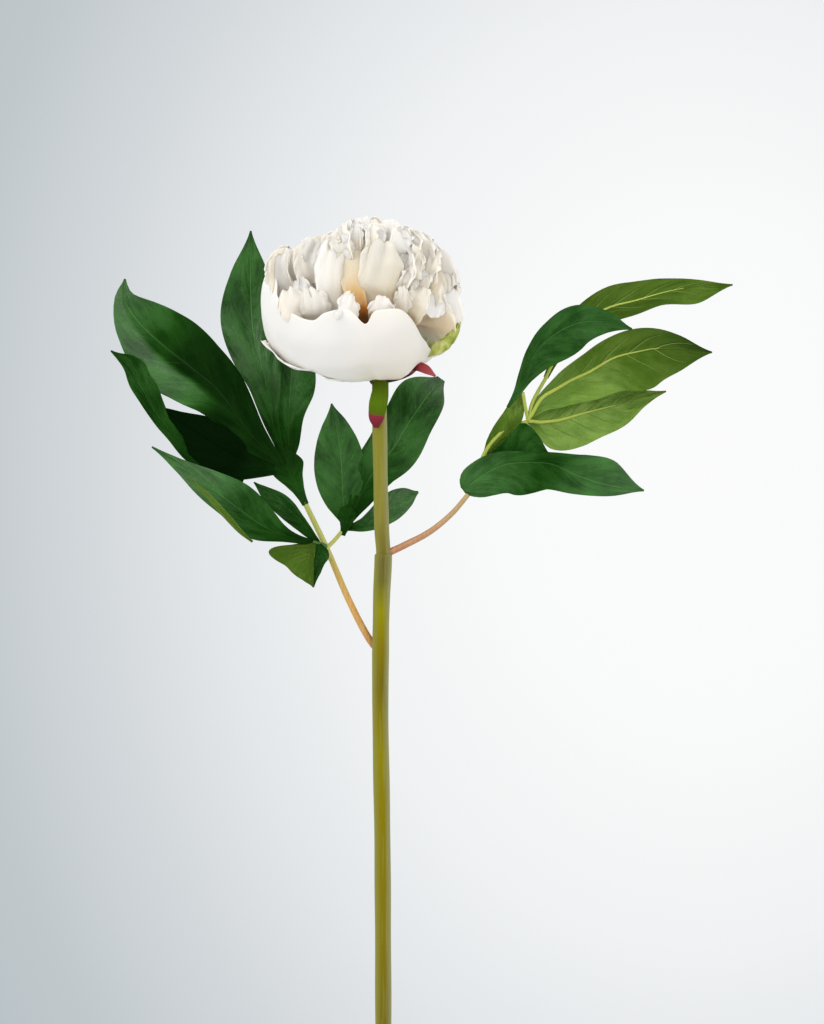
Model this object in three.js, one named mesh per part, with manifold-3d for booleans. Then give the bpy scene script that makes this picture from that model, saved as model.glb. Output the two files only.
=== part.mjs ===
// A single white double peony, cut with two compound leaves on its stem, standing in a plain bud vase.
// Millimetres, +Z up. The origin is the centre of the vase's flat base. The viewer stands on the -Y side.
import * as THREE from "three";
import { mergeVertices } from "three/addons/utils/BufferGeometryUtils.js";
import Module from "manifold-3d";

const wasm = await Module();
wasm.setup();

// Driving dimensions

const FIT_GAP = 0.3; // between pieces that touch
const BLADE = 0.7; // thickness of a leaf or a petal

// Where the flower is looked at from. Places given as [across, up, depth] are read off in the plane of the
// stem, as seen from here: depth is how far behind that plane a point lies.
const EYE = { across: 15, up: 498, away: 1600 };

const VASE = {
  height: 210,
  foot: 32,
  belly: 39,
  bellyUp: 62,
  shoulder: 25,
  shoulderUp: 122,
  neck: 10.6,
  neckUp: 172,
  lip: 13.5,
  wall: 3.6,
  floor: 9,
  segments: 28,
};
const WATER_TOP = 118;

// The stem stands on the vase's floor and leans on the inside of its neck. Its line is [across, back, up].
const STEM = {
  line: [
    [0, 0.6, VASE.floor + FIT_GAP],
    [-0.2, -2.2, VASE.neckUp],
    [-0.3, -3.1, 222],
    [-0.8, -4.8, 320],
    [-1.9, -6.1, 397],
    [-1.3, -7, 451],
    [-0.3, -7.4, 476],
    [-1.1, -7.7, 489],
    [-2.2, -8.6, 543],
    [-2.4, -9.1, 573],
  ],
  joint: 476, // height at which the upper stem leaves its sheath
  below: 4.4, // radius under the joint
  above: 3.7, // radius over it
  sides: 12,
};

// The bloom's axis leans to the left and towards the viewer. middle is the centre of its ball of petals, and
// core the half sizes of the closed heart that the petals stand out of, which sits lower and further back.
const BLOOM = {
  root: [-2.4, -9.1, 571.4],
  leanLeft: 12,
  leanNear: 12,
  middle: [-12.4, -10, 612],
  core: [35, 27, 27],
  coreBack: 2,
  coreDown: 7,
};

// Small tools

const radians = THREE.MathUtils.degToRad;
const vector = (p) => new THREE.Vector3(...p);
const between = (a, b, t) => a + (b - a) * t;

// A point of the front view, [across, up, depth], as a place in the part's frame.
function seen([across, up, depth]) {
  const spread = 1 + depth / EYE.away;
  return new THREE.Vector3(
    between(EYE.across, across, spread),
    depth,
    between(EYE.up, up, spread),
  );
}

// Repeatable draws from 0 to 1.
function draws(seed) {
  let state = seed >>> 0;
  return () => {
    state = (Math.imul(state, 1664525) + 1013904223) >>> 0;
    return state / 4294967296;
  };
}

function solid(geometry) {
  const bare = geometry.clone();
  bare.deleteAttribute("normal");
  bare.deleteAttribute("uv");
  const merged = mergeVertices(bare, 1e-4);
  const made = new wasm.Manifold(
    new wasm.Mesh({
      numProp: 3,
      vertProperties: new Float32Array(merged.attributes.position.array),
      triVerts: new Uint32Array(merged.index.array),
    }),
  );
  if (made.volume() > 0) return made;
  const turned = new Uint32Array(merged.index.array);
  for (let i = 0; i < turned.length; i += 3)
    [turned[i + 1], turned[i + 2]] = [turned[i + 2], turned[i + 1]];
  return new wasm.Manifold(
    new wasm.Mesh({
      numProp: 3,
      vertProperties: new Float32Array(merged.attributes.position.array),
      triVerts: turned,
    }),
  );
}

// The largest body of a solid, so that a scrap cut loose by a neighbour is dropped.
function largest(made) {
  const bodies = made.decompose();
  return bodies.reduce((a, b) => (a.volume() > b.volume() ? a : b));
}

function joined(solids) {
  return solids.reduce((whole, piece) => whole.add(piece));
}

function piece(name, made, material) {
  const mesh = largest(made).getMesh();
  const places = new Float32Array(mesh.numVert * 3);
  for (let i = 0; i < mesh.numVert; i++)
    for (let axis = 0; axis < 3; axis++)
      places[3 * i + axis] = mesh.vertProperties[i * mesh.numProp + axis];
  const geometry = new THREE.BufferGeometry();
  geometry.setAttribute("position", new THREE.BufferAttribute(places, 3));
  geometry.setIndex(new THREE.BufferAttribute(new Uint32Array(mesh.triVerts), 1));
  geometry.computeVertexNormals();
  const shown = new THREE.Mesh(geometry, material);
  shown.name = name;
  return shown;
}

// A closed body through rings of points, with a flat cap at each end.
function loft(rings) {
  const sides = rings[0].length;
  const places = rings.flat().flatMap((p) => [p.x, p.y, p.z]);
  const faces = [];
  for (let ring = 0; ring + 1 < rings.length; ring++)
    for (let side = 0; side < sides; side++) {
      const a = ring * sides + side;
      const b = ring * sides + ((side + 1) % sides);
      faces.push(a, b, b + sides, a, b + sides, a + sides);
    }
  for (const [ring, turn] of [[0, -1], [rings.length - 1, 1]]) {
    const middle = places.length / 3;
    const centre = rings[ring]
      .reduce((sum, p) => sum.add(p), new THREE.Vector3())
      .divideScalar(sides);
    places.push(centre.x, centre.y, centre.z);
    for (let side = 0; side < sides; side++) {
      const a = ring * sides + side;
      const b = ring * sides + ((side + 1) % sides);
      faces.push(middle, ...(turn > 0 ? [a, b] : [b, a]));
    }
  }
  const geometry = new THREE.BufferGeometry();
  geometry.setAttribute("position", new THREE.Float32BufferAttribute(places, 3));
  geometry.setIndex(faces);
  return solid(geometry);
}

// A round rod along a smooth line through points. radiusAt gives its radius from 0 at its start to 1 at its end.
function rod(points, radiusAt, steps, sides) {
  const line = new THREE.CatmullRomCurve3(points);
  const frames = line.computeFrenetFrames(steps);
  const rings = [];
  for (let step = 0; step <= steps; step++) {
    const t = step / steps;
    const centre = line.getPointAt(t);
    const radius = radiusAt(t);
    rings.push(
      Array.from({ length: sides }, (_, side) => {
        const turn = (2 * Math.PI * side) / sides;
        return centre
          .clone()
          .addScaledVector(frames.normals[step], radius * Math.cos(turn))
          .addScaledVector(frames.binormals[step], radius * Math.sin(turn));
      }),
    );
  }
  return loft(rings);
}

// A thin sheet about the surface pointAt(u, v), u from -1 to 1 and v from 0 to 1, split alike on both faces.
function sheet(pointAt, across, along, thickness) {
  const at = (i, j) => pointAt((2 * i) / across - 1, j / along);
  const places = [];
  const grid = [];
  for (let j = 0; j <= along; j++)
    for (let i = 0; i <= across; i++) grid.push(at(i, j));
  const index = (i, j) => j * (across + 1) + i;
  const clamp = THREE.MathUtils.clamp;
  for (const side of [0.5, -0.5])
    for (let j = 0; j <= along; j++)
      for (let i = 0; i <= across; i++) {
        const [i0, i1] = [clamp(i - 1, 0, across), clamp(i + 1, 0, across)];
        const [j0, j1] = [clamp(j - 1, 0, along), clamp(j + 1, 0, along)];
        const acrossWay = grid[index(i1, j)].clone().sub(grid[index(i0, j)]);
        const alongWay = grid[index(i, j1)].clone().sub(grid[index(i, j0)]);
        const normal = acrossWay.cross(alongWay).normalize();
        const p = grid[index(i, j)].clone().addScaledVector(normal, side * thickness);
        places.push(p.x, p.y, p.z);
      }
  const back = grid.length;
  const faces = [];
  for (let j = 0; j < along; j++)
    for (let i = 0; i < across; i++) {
      const [a, b, c, d] = [index(i, j), index(i + 1, j), index(i + 1, j + 1), index(i, j + 1)];
      faces.push(a, b, c, a, c, d);
      faces.push(back + a, back + c, back + b, back + a, back + d, back + c);
    }
  const rim = [];
  for (let i = 0; i < across; i++) rim.push(index(i, 0));
  for (let j = 0; j < along; j++) rim.push(index(across, j));
  for (let i = across; i > 0; i--) rim.push(index(i, along));
  for (let j = along; j > 0; j--) rim.push(index(0, j));
  rim.forEach((a, k) => {
    const b = rim[(k + 1) % rim.length];
    faces.push(a, back + a, back + b, a, back + b, b);
  });
  const geometry = new THREE.BufferGeometry();
  geometry.setAttribute("position", new THREE.Float32BufferAttribute(places, 3));
  geometry.setIndex(faces);
  return solid(geometry);
}

// Leaves

const LEAF_ACROSS = 4;
const LEAF_ALONG = 8;

// midrib is a list of front-view places from root to tip. left and right are the half widths in millimetres, as
// the viewer sees them when heading for the tip, at seven even steps. roll turns the blade about its midrib and
// twist turns it on from root to tip. fold lifts both halves towards the viewer, droop bends their edges back,
// and wave is the height of the edge's waves. under marks a leaflet that shows its underside.
const LEFT_UPPER = [
  {
    midrib: [[-52, 522, 14], [-60, 546, 19], [-63.5, 568, 24], [-70, 591, 27], [-72, 615, 26], [-72, 650.3, 20]],
    left: [1.3, 4, 9.2, 14.5, 17, 10.5, 0.4],
    right: [1.3, 3, 7, 12, 14, 9.5, 0.4],
    fold: 10, droop: 0.12, wave: 0.8, roll: 6, twist: -10,
  },
  {
    midrib: [[-51.5, 521, 14.4], [-51.3, 551, 24], [-50.2, 570, 30], [-49, 588, 36], [-52, 603, 40]],
    left: [1.3, 4.5, 7, 8.5, 10.5, 8, 0.4],
    right: [1.3, 5.7, 8.3, 13.2, 13, 9, 0.4],
    fold: 8, droop: 0.1, wave: 0.8, roll: -6, twist: 0,
  },
  {
    midrib: [[-52, 521, 13.6], [-70.4, 539, 11], [-90, 564.5, 6], [-103.7, 576.3, 3], [-122.6, 591.4, -2],
      [-135.5, 604.9, -6], [-140.4, 614.6, -8], [-139.9, 624.3, -6]],
    left: [1.3, 8, 13, 19, 22, 13, 0.4],
    right: [1.3, 7, 13, 17.8, 20, 14, 0.4],
    fold: 10, droop: 0.16, wave: 1.2, roll: -4, twist: 10,
  },
  {
    midrib: [[-76, 515, 11.5], [-99.4, 525.5, 8], [-115.6, 541.7, 3], [-124.7, 554.1, -1], [-131.2, 565.5, -5],
      [-137.7, 576.8, -9], [-147.4, 585.5, -14]],
    left: [1.3, 4, 5, 5, 5, 5.5, 0.4],
    right: [1.3, 6, 7, 6, 5.5, 5.5, 0.4],
    fold: 4, droop: 0, wave: 0.4, roll: 40, twist: 0,
  },
  {
    midrib: [[-52, 520.5, 14], [-65.9, 523.4, 13], [-77.8, 527.7, 11.5], [-91.3, 535.2, 9], [-104.8, 543.9, 7],
      [-118.3, 552.5, 5], [-125.3, 555.8, 4]],
    left: [1.3, 6.5, 12.8, 13.5, 11, 7, 0.4],
    right: [1.3, 8, 13, 15, 10.2, 4.3, 0.4],
    fold: 12, droop: 0.18, wave: 1.2, roll: 8, twist: 0,
  },
];
const LEFT_LOWER = [
  {
    midrib: [[-35, 481.2, 0.4], [-50.8, 485, -5], [-65.9, 491.5, -10], [-80.5, 501.8, -16], [-96.7, 514.7, -22],
      [-111.2, 525, -26], [-125.3, 533.6, -30]],
    left: [1.3, 3.2, 9.5, 8.4, 8, 4.3, 0.4],
    right: [1.3, 3.5, 10.8, 13, 8.4, 3, 0.4],
    fold: 10, droop: 0.16, wave: 0.8, roll: -4, twist: 8,
  },
  {
    midrib: [[-35.5, 482, 0.3], [-43.7, 492.6, 1], [-52.4, 500.7, 2], [-61.6, 508.2, 0], [-70.2, 514.5, -4]],
    left: [1.3, 4, 5.5, 6, 5.6, 4, 0.4],
    right: [1.3, 1.8, 2.8, 4.6, 4.6, 2.4, 0.4],
    fold: 10, droop: 0.1, wave: 0.4, roll: 0, twist: 0,
  },
  {
    midrib: [[-38.3, 482.2, -0.8], [-40.5, 473, -9], [-38.1, 457.9, -14]],
    left: [1.5, 2.5, 3, 2.5, 2, 1, 0.4],
    right: [3, 14, 18, 12.5, 8, 4.3, 0.4],
    fold: -6, droop: 0, wave: 0.3, roll: 0, twist: 0, under: true,
  },
  {
    midrib: [[-35, 481.4, 0.4], [-36.2, 472.6, -6], [-37.5, 464.5, -10], [-38.1, 457.9, -13]],
    left: [1.3, 3.8, 4, 2.4, 2, 1.2, 0.4],
    right: [1.3, 4, 4.5, 4, 3, 1.5, 0.4],
    fold: 8, droop: 0, wave: 0.3, roll: 0, twist: 0,
  },
];
const LEFT_INNER = [
  {
    midrib: [[-21, 490.5, 16.3], [-22.1, 505, 18], [-23.2, 526.6, 20], [-25.4, 542.8, 17], [-28.4, 557, 12]],
    left: [1.3, 9, 13.8, 15, 12.8, 7.8, 0.4],
    right: [1.3, 7, 11.2, 12.5, 10.6, 6.2, 0.4],
    fold: 10, droop: 0.14, wave: 0.8, roll: 4, twist: 0,
  },
  {
    midrib: [[-20.4, 490, 16.3], [-14, 505, 18], [-4.9, 521.2, 21], [4.3, 532, 25], [13, 545.5, 28],
      [22.1, 559, 33], [30.8, 570.3, 46]],
    left: [1.3, 5.5, 11.5, 14.5, 15, 13.5, 0.6],
    right: [1.3, 7, 12, 14.5, 12.8, 9.8, 0.6],
    fold: 10, droop: 0.14, wave: 0.8, roll: -6, twist: 0,
  },
  {
    midrib: [[-21, 489.5, 16.2], [-10.3, 492, 17], [0.5, 498.5, 18], [10.3, 505, 20], [18.4, 509.3, 24]],
    left: [1.3, 3, 5, 7, 8, 6, 0.6],
    right: [1.3, 3.2, 5.5, 7, 7, 5, 0.6],
    fold: 10, droop: 0.1, wave: 0.4, roll: 0, twist: 0,
  },
];
const RIGHT_LEAF = [
  {
    midrib: [[45.5, 509.5, -17.2], [52.9, 518.5, -21], [64.3, 523.9, -26], [78.8, 525.5, -32], [90.7, 524.4, -36],
      [104.8, 518, -40], [122, 512.6, -43], [140.4, 510.1, -45]],
    left: [4, 7.5, 5, 6, 12, 13, 0.4],
    right: [3, 13.5, 17.5, 14.5, 10, 5.5, 0.4],
    fold: 10, droop: 0.15, wave: 0.6, roll: 0, twist: 0,
  },
  {
    midrib: [[52.9, 524.4, -15.4], [65.3, 533.6, -22], [78.8, 538.5, -30], [90.7, 530.1, -37]],
    left: [1.3, 2, 2.8, 5, 10.4, 6, 0.4],
    right: [1.3, 3, 4, 5, 6, 4, 0.4],
    fold: 14, droop: 0.2, wave: 0.4, roll: 0, twist: 0,
  },
  {
    midrib: [[77.5, 547.5, -8], [92.3, 547.7, -2], [108, 552, 3], [125.3, 556.3, 7], [138.2, 560, 10],
      [152.3, 563.6, 13]],
    left: [1.3, 8, 11, 11, 8, 4, 0.4],
    right: [1.3, 15, 17, 15, 12, 5, 0.4],
    fold: -10, droop: -0.12, wave: 0.8, roll: 0, twist: 0, under: true,
  },
  {
    midrib: [[77.5, 548, -8], [84.8, 559, -8], [96.4, 567.4, -7], [110.2, 573.8, -6], [124.2, 581.8, -4],
      [137, 585, -1], [148.8, 586.9, 1], [177.1, 584.7, 6]],
    left: [1.3, 3.6, 8.8, 10.8, 12.5, 7.5, 0.4],
    right: [1.3, 10, 14.5, 18.6, 21, 13.2, 0.4],
    fold: -10, droop: -0.1, wave: 0.8, roll: 0, twist: 0, under: true,
  },
  {
    midrib: [[75.2, 561, -12.4], [74, 570.9, -15], [78.8, 582.2, -18], [90.2, 593.6, -22], [104.8, 600.6, -27],
      [119.9, 601.1, -31], [133.9, 597.3, -35]],
    left: [1.3, 3.8, 5.8, 9, 10, 6, 0.4],
    right: [1.3, 9, 15, 16.7, 13.2, 6, 0.4],
    fold: 10, droop: 0.16, wave: 0.8, roll: -4, twist: 0,
  },
  {
    midrib: [[87.4, 571, -6.2], [95, 586, -3], [105.8, 599.5, 0], [121, 608.7, 4], [136.1, 612.7, 8],
      [150.1, 616.8, 12], [165.2, 620, 15], [188.2, 621.1, 20]],
    left: [1.3, 4, 9, 11, 8.4, 3.8, 0.4],
    right: [1.3, 4, 8, 7.9, 6.5, 9.4, 0.4],
    fold: -10, droop: -0.1, wave: 0.6, roll: 0, twist: 0, under: true,
  },
  {
    midrib: [[54, 528.5, -14], [64.3, 539.6, -12], [70.7, 548.7, -10.5], [73.4, 559, -9.5], [73.4, 567.6, -9]],
    left: [1.3, 5, 7, 7.5, 6.5, 3.5, 0.4],
    right: [1.3, 3, 4, 4, 3.5, 2, 0.4],
    fold: -8, droop: 0, wave: 0.3, roll: 0, twist: 0, under: true,
  },
];

// A smooth value between evenly spaced ones.
function blended(values, t) {
  const place = THREE.MathUtils.clamp(t, 0, 1) * (values.length - 1);
  const low = Math.min(Math.floor(place), values.length - 2);
  const [a, b, c, d] = [-1, 0, 1, 2].map((step) =>
    values[THREE.MathUtils.clamp(low + step, 0, values.length - 1)],
  );
  const f = place - low;
  const [into, out] = [(c - a) / 2, (d - b) / 2];
  return (2 * f ** 3 - 3 * f ** 2 + 1) * b + (f ** 3 - 2 * f ** 2 + f) * into +
    (3 * f ** 2 - 2 * f ** 3) * c + (f ** 3 - f ** 2) * out;
}

function leafPoint(leaf, line, u, t) {
  const centre = line.getPointAt(t);
  const along = line.getTangentAt(t);
  const near = new THREE.Vector3(0, -1, 0);
  near.addScaledVector(along, -near.dot(along)).normalize();
  near.applyAxisAngle(along, radians(leaf.roll + leaf.twist * (t - 0.5)));
  const leftWay = near.clone().cross(along);
  const side = u > 0 ? 0.1 : 0.45;
  const reach = Math.max(0.35, blended(u > 0 ? leaf.left : leaf.right, t));
  const share = Math.abs(u);
  const waves = Math.sin(2 * Math.PI * (2.3 * t + side));
  const lift =
    reach * (share * Math.sin(radians(leaf.fold)) - leaf.droop * share ** 2) +
    leaf.wave * waves * share ** 2 * Math.min(1, reach / 6);
  return centre.addScaledVector(leftWay, u * reach).addScaledVector(near, lift);
}

function leaflet(leaf) {
  const line = new THREE.CatmullRomCurve3(leaf.midrib.map(seen), false, "centripetal");
  return sheet((u, t) => leafPoint(leaf, line, u, t), LEAF_ACROSS, LEAF_ALONG, BLADE);
}

// A leaf's stalks, each a list of front-view places with the radius at each end.
const LEFT_STALKS = [
  {
    through: [[-1, 421, -5], [-8, 430, -4], [-19, 451, 0], [-31, 479, 6], [-42.5, 503, 12]],
    from: 2.3, to: 1.6,
  },
  { through: [[-31, 479, 6], [-26.5, 483.5, 11], [-22, 489, 16]], from: 1.4, to: 1.2 },
];
const LEFT_RIBS = {
  upper: {
    through: [[-42.5, 503, 12], [-46.5, 511, 13.5], [-51.5, 520.5, 14], [-53, 524, 14.2]],
    from: 2.6, to: 1.7,
  },
  lower: { through: [[-31.5, 480, 5], [-33.5, 481, 2], [-38.5, 482.5, -1]], from: 1.6, to: 1.3 },
  inner: { through: [[-22, 489, 16], [-20.8, 490.5, 16.3], [-20, 493.5, 17]], from: 1.7, to: 1.4 },
};
const RIGHT_STALK = {
  through: [[2.5, 476.5, -7], [11, 480.5, -9], [25, 488, -12], [37, 498, -15], [45.5, 508, -17]],
  from: 2.2, to: 1.5,
};
const RIGHT_RIBS = [
  {
    through: [[45, 507.5, -17], [50, 519, -16], [56, 533, -13], [66, 543, -10], [78, 547.5, -8]],
    from: 1.9, to: 1.3,
  },
  { through: [[78, 547.5, -8], [76.5, 554, -10], [75, 563, -13]], from: 1, to: 0.9 },
  { through: [[78, 547.5, -8], [80, 557, -8], [88, 572, -6]], from: 1.1, to: 1 },
];

// grow makes the stalk thicker and longer all round, for the room that a neighbour leaves it.
function stalk({ through, from, to }, grow = 0) {
  const points = through.map(seen);
  const [last, beforeLast] = [points.at(-1), points.at(-2)];
  last.addScaledVector(last.clone().sub(beforeLast).normalize(), grow);
  const steps = 4 * (through.length - 1);
  return rod(points, (t) => between(from, to, t) + grow, steps, 8);
}

// Stem

// Radius at a height: the lower stem widens a little towards the joint and at the left stalk's root.
function stemRadius(up) {
  if (up > STEM.joint) return STEM.above;
  const sheath = 0.3 * THREE.MathUtils.smoothstep(up, STEM.joint - 60, STEM.joint);
  return STEM.below + sheath + 0.2 * Math.exp(-(((up - 424) / 9) ** 2));
}

function stemAt(up) {
  const next = Math.max(1, STEM.line.findIndex((mark) => up <= mark[2]));
  const [low, high] = [STEM.line[next - 1], STEM.line[next]];
  const t = (up - low[2]) / (high[2] - low[2]);
  return new THREE.Vector3(between(low[0], high[0], t), between(low[1], high[1], t), up);
}

function stemBody(grow = 0) {
  const joint = STEM.joint;
  const marks = STEM.line.map((mark) => mark[2]);
  const heights = [...marks, 90, 415, 424, 433, joint - 0.8, joint + 0.1 + grow, 515, 560];
  heights.sort((a, b) => a - b);
  const rings = heights.map((up) => {
    const centre = stemAt(up);
    const bevel = Math.abs(up - joint) < 0.05 ? -0.35 : 0;
    const radius = stemRadius(up) + grow + bevel;
    return Array.from({ length: STEM.sides }, (_, side) => {
      const turn = (2 * Math.PI * side) / STEM.sides;
      return new THREE.Vector3(
        centre.x + radius * Math.cos(turn),
        centre.y + radius * Math.sin(turn),
        up,
      );
    });
  });
  if (grow) {
    rings[0].forEach((p) => (p.z -= 2));
    rings.at(-1).forEach((p) => (p.z += grow));
  }
  return loft(rings);
}

// Bloom

// The bloom's own frame has its axis up and its turn of 0 towards the viewer.
const bloomTurn = new THREE.Matrix4()
  .makeRotationY(radians(-BLOOM.leanLeft))
  .multiply(new THREE.Matrix4().makeRotationX(radians(BLOOM.leanNear)));
const bloomTurnBack = bloomTurn.clone().invert();

// A petal runs from the bloom's root to tip, a front-view place, on an arc that bulges out. half is its half
// width, cup the radius of its hollow across, crest how far the tip's corners are rounded off, lean how far it
// drifts sideways, roll its turn about its own length, wave the height of its edge's waves, and layer how far
// it lies outside the innermost guard petals.
const GUARD_PETALS = [
  { tip: [-38, 606.5, -48], bulge: 48, half: 29, cup: 40, crest: 0.18, layer: 0 },
  { tip: [4, 607, -57], bulge: 47, half: 32, cup: 42, crest: 0.18, lean: -2, layer: 2 },
  { tip: [-66, 627, -22], bulge: 54, half: 30, cup: 34, crest: 0.22, wave: 1.5, lean: 4, layer: 0 },
  { tip: [32, 620, -16], bulge: 50, half: 24, cup: 30, crest: 0.2, wave: 1, roll: -42, layer: 0 },
  { tip: [26, 624, 26], bulge: 46, half: 28, cup: 40, crest: 0.25, wave: 1.5, layer: 1 },
  { tip: [-12, 625, 40], bulge: 50, half: 29, cup: 42, crest: 0.25, wave: 1.5, layer: 2 },
  { tip: [-50, 624, 26], bulge: 50, half: 28, cup: 40, crest: 0.25, wave: 1.5, layer: 1 },
  { tip: [-65, 597, -24], bulge: 44, half: 21, cup: 40, crest: 0.22, wave: 1.5, layer: 2.4 },
  { tip: [35, 596, -14], bulge: 24, half: 12, cup: 30, crest: 0.3, wave: 1.5, layer: 2 },
];

// The crown's petals stand in rows, one behind another. tips are [across, up] in the front view.
const CROWN_SEED = 20;
const CROWN = [
  {
    depth: -38, bulge: 48, half: 14, cup: 15,
    tips: [[-47, 634], [-26, 641], [-2.5, 642], [14, 638], [27, 631]],
  },
  {
    depth: -15, bulge: 36, half: 14, cup: 17,
    tips: [[-59, 639], [-42, 651], [-23, 656], [-5, 659], [12, 656], [27, 648], [38, 636]],
  },
  {
    depth: 8, bulge: 32, half: 15, cup: 18,
    tips: [[-58, 634], [-39, 650], [-16, 658], [6, 657], [24, 649], [37, 634]],
  },
  {
    depth: 30, bulge: 38, half: 15, cup: 20,
    tips: [[-46, 633], [-27, 643], [-5, 645], [15, 640], [29, 630]],
  },
];

function crownPetals() {
  const draw = draws(CROWN_SEED);
  return CROWN.flatMap(({ depth, tips, ...row }) =>
    tips.map(([across, up]) => ({
      ...row,
      tip: [across, up, depth + 5 * (draw() - 0.5)],
      half: row.half * between(0.92, 1.12, draw()),
      crest: between(0.08, 0.22, draw()),
      roll: 36 * (draw() - 0.5),
      wave: between(0.8, 1.8, draw()),
    })),
  );
}

// Half width from a narrow claw to the broad upper part.
function petalShape(v) {
  const broad = THREE.MathUtils.smoothstep(v, 0, 0.6);
  return (0.25 + 0.75 * broad) * (1 - 0.16 * THREE.MathUtils.smoothstep(v, 0.7, 1));
}

function petalPoint(petal, u, v) {
  const { roll = 0, lean = 0, wave = 0.8, layer = 0 } = petal;
  const tip = seen(petal.tip).sub(vector(BLOOM.root)).applyMatrix4(bloomTurnBack);
  const outWay = new THREE.Vector3(tip.x, tip.y, 0).normalize();
  const upWay = new THREE.Vector3(0, 0, 1);
  const sideWay = upWay.clone().cross(outWay);
  const chord = tip.length();
  const slope = Math.atan2(tip.z, Math.hypot(tip.x, tip.y));
  const bulge = radians(petal.bulge);
  const ring = chord / (2 * Math.sin(bulge));
  const reach = v * (1 - petal.crest * Math.abs(u) ** 3);
  const heading = slope - bulge + 2 * bulge * reach;
  const out = ring * (Math.sin(heading) - Math.sin(slope - bulge));
  const up = ring * (Math.cos(slope - bulge) - Math.cos(heading));
  const outer = outWay.clone().multiplyScalar(Math.sin(heading)).addScaledVector(upWay, -Math.cos(heading));
  const tilt = radians(roll) * v;
  const across = sideWay.clone().multiplyScalar(Math.cos(tilt)).addScaledVector(outer, Math.sin(tilt));
  const outward = outer.clone().multiplyScalar(Math.cos(tilt)).addScaledVector(sideWay, -Math.sin(tilt));
  const round = (u * petal.half * petalShape(v)) / petal.cup;
  const waves = wave * Math.sin(2 * Math.PI * (1.1 * u + petal.tip[0] / 13)) * v ** 3;
  const outside = layer * THREE.MathUtils.smoothstep(v, 0, 0.3);
  return outWay
    .multiplyScalar(out)
    .addScaledVector(upWay, up)
    .addScaledVector(sideWay, lean * v ** 2)
    .addScaledVector(across, petal.cup * Math.sin(round))
    .addScaledVector(outward, outside + waves - petal.cup * (1 - Math.cos(round)))
    .applyMatrix4(bloomTurn)
    .add(vector(BLOOM.root));
}

// from is the share of the petal's length at which its body starts.
function petalBody(petal, across, along, from = 0) {
  return sheet((u, v) => petalPoint(petal, u, between(from, 1, v)), across, along, BLADE);
}

function bloomBody() {
  const core = new THREE.SphereGeometry(1, 14, 10);
  core.scale(...BLOOM.core).translate(...BLOOM.middle);
  core.translate(0, BLOOM.coreBack, -BLOOM.coreDown);
  const guards = GUARD_PETALS.map((petal) => petalBody(petal, 5, 5));
  const crown = crownPetals().map((petal) => petalBody(petal, 3, 3, 0.36));
  return joined([solid(core), ...guards, ...crown]);
}

// Vase and water

// The outline from foot to lip, as [radius, height].
const VASE_OUTSIDE = [
  [VASE.foot, 3],
  [VASE.foot + 4.6, 24],
  [VASE.belly - 0.8, 46],
  [VASE.belly, VASE.bellyUp],
  [VASE.belly - 2.6, 82],
  [VASE.shoulder + 5.4, 104],
  [VASE.shoulder - 3.4, VASE.shoulderUp],
  [VASE.neck + 4.2, 140],
  [VASE.neck + 1, 156],
  [VASE.neck, VASE.neckUp],
  [VASE.neck + 0.5, 190],
  [VASE.lip - 0.8, 203],
  [VASE.lip, VASE.height - 1.5],
];

// The inside keeps a wall's thickness from the outside, down to a flat floor.
const VASE_INSIDE = VASE_OUTSIDE.slice(1, -1).map(([radius, up]) => [radius - VASE.wall, up]);

const turnedOn = (profile) =>
  solid(
    new THREE.LatheGeometry(
      profile.map(([radius, up]) => new THREE.Vector2(radius, up)),
      VASE.segments,
    ).rotateX(Math.PI / 2),
  );

function vaseBody() {
  return turnedOn([
    [0, 0],
    [VASE.foot - 1.5, 0],
    ...VASE_OUTSIDE,
    [VASE.lip - 1, VASE.height],
    [VASE.lip - 2.6, VASE.height - 0.4],
    ...VASE_INSIDE.toReversed(),
    [VASE.foot - 2, 12],
    [VASE.foot - 6, VASE.floor],
    [0, VASE.floor],
  ]);
}

function waterBody() {
  const side = VASE_INSIDE.filter(([, up]) => up < WATER_TOP);
  const [last, next] = [side.at(-1), VASE_INSIDE[side.length]];
  const surface = between(last[0], next[0], (WATER_TOP - last[1]) / (next[1] - last[1]));
  return turnedOn([
    [0, VASE.floor + FIT_GAP],
    [VASE.foot - 6.2, VASE.floor + FIT_GAP],
    [VASE.foot - 2.4, 12.1],
    ...side.map(([radius, up]) => [radius - 0.4, up]),
    [surface - 0.4, WATER_TOP],
    [0, WATER_TOP],
  ]).subtract(stemBody(FIT_GAP));
}

// Calyx: a shallow cup under the bloom with its sepals and one long bract against the stem

const CALYX_CUP = [
  // [height from the bloom's root, radius]
  [-8.6, 4.3],
  [-6.4, 5],
  [-4.9, 6.2],
  [-3.6, 7.4],
];
const BRACTS = [
  {
    midrib: [[-1.8, 567.2, -14.4], [-2.3, 563, -15.4], [-3.3, 557, -15.6], [-4.4, 551, -15.4], [-4.3, 543.9, -15]],
    left: [4, 4.4, 5.1, 5.3, 4.8, 3, 0.4],
    right: [4, 4.4, 5.1, 5.3, 4.8, 3, 0.4],
    fold: 0, droop: 0.38, wave: 0, roll: 0, twist: 0,
  },
  {
    midrib: [[1, 566.6, -12], [9, 567.8, -16.5], [16, 571.4, -19], [21, 574.2, -20], [27.6, 572.2, -20]],
    left: [3, 3.4, 3.6, 3.6, 3.2, 2.2, 0.5],
    right: [3, 3.4, 3.6, 3.6, 3.2, 2.2, 0.5],
    fold: 0, droop: 0.2, wave: 0, roll: 60, twist: -50,
  },
];
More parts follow.
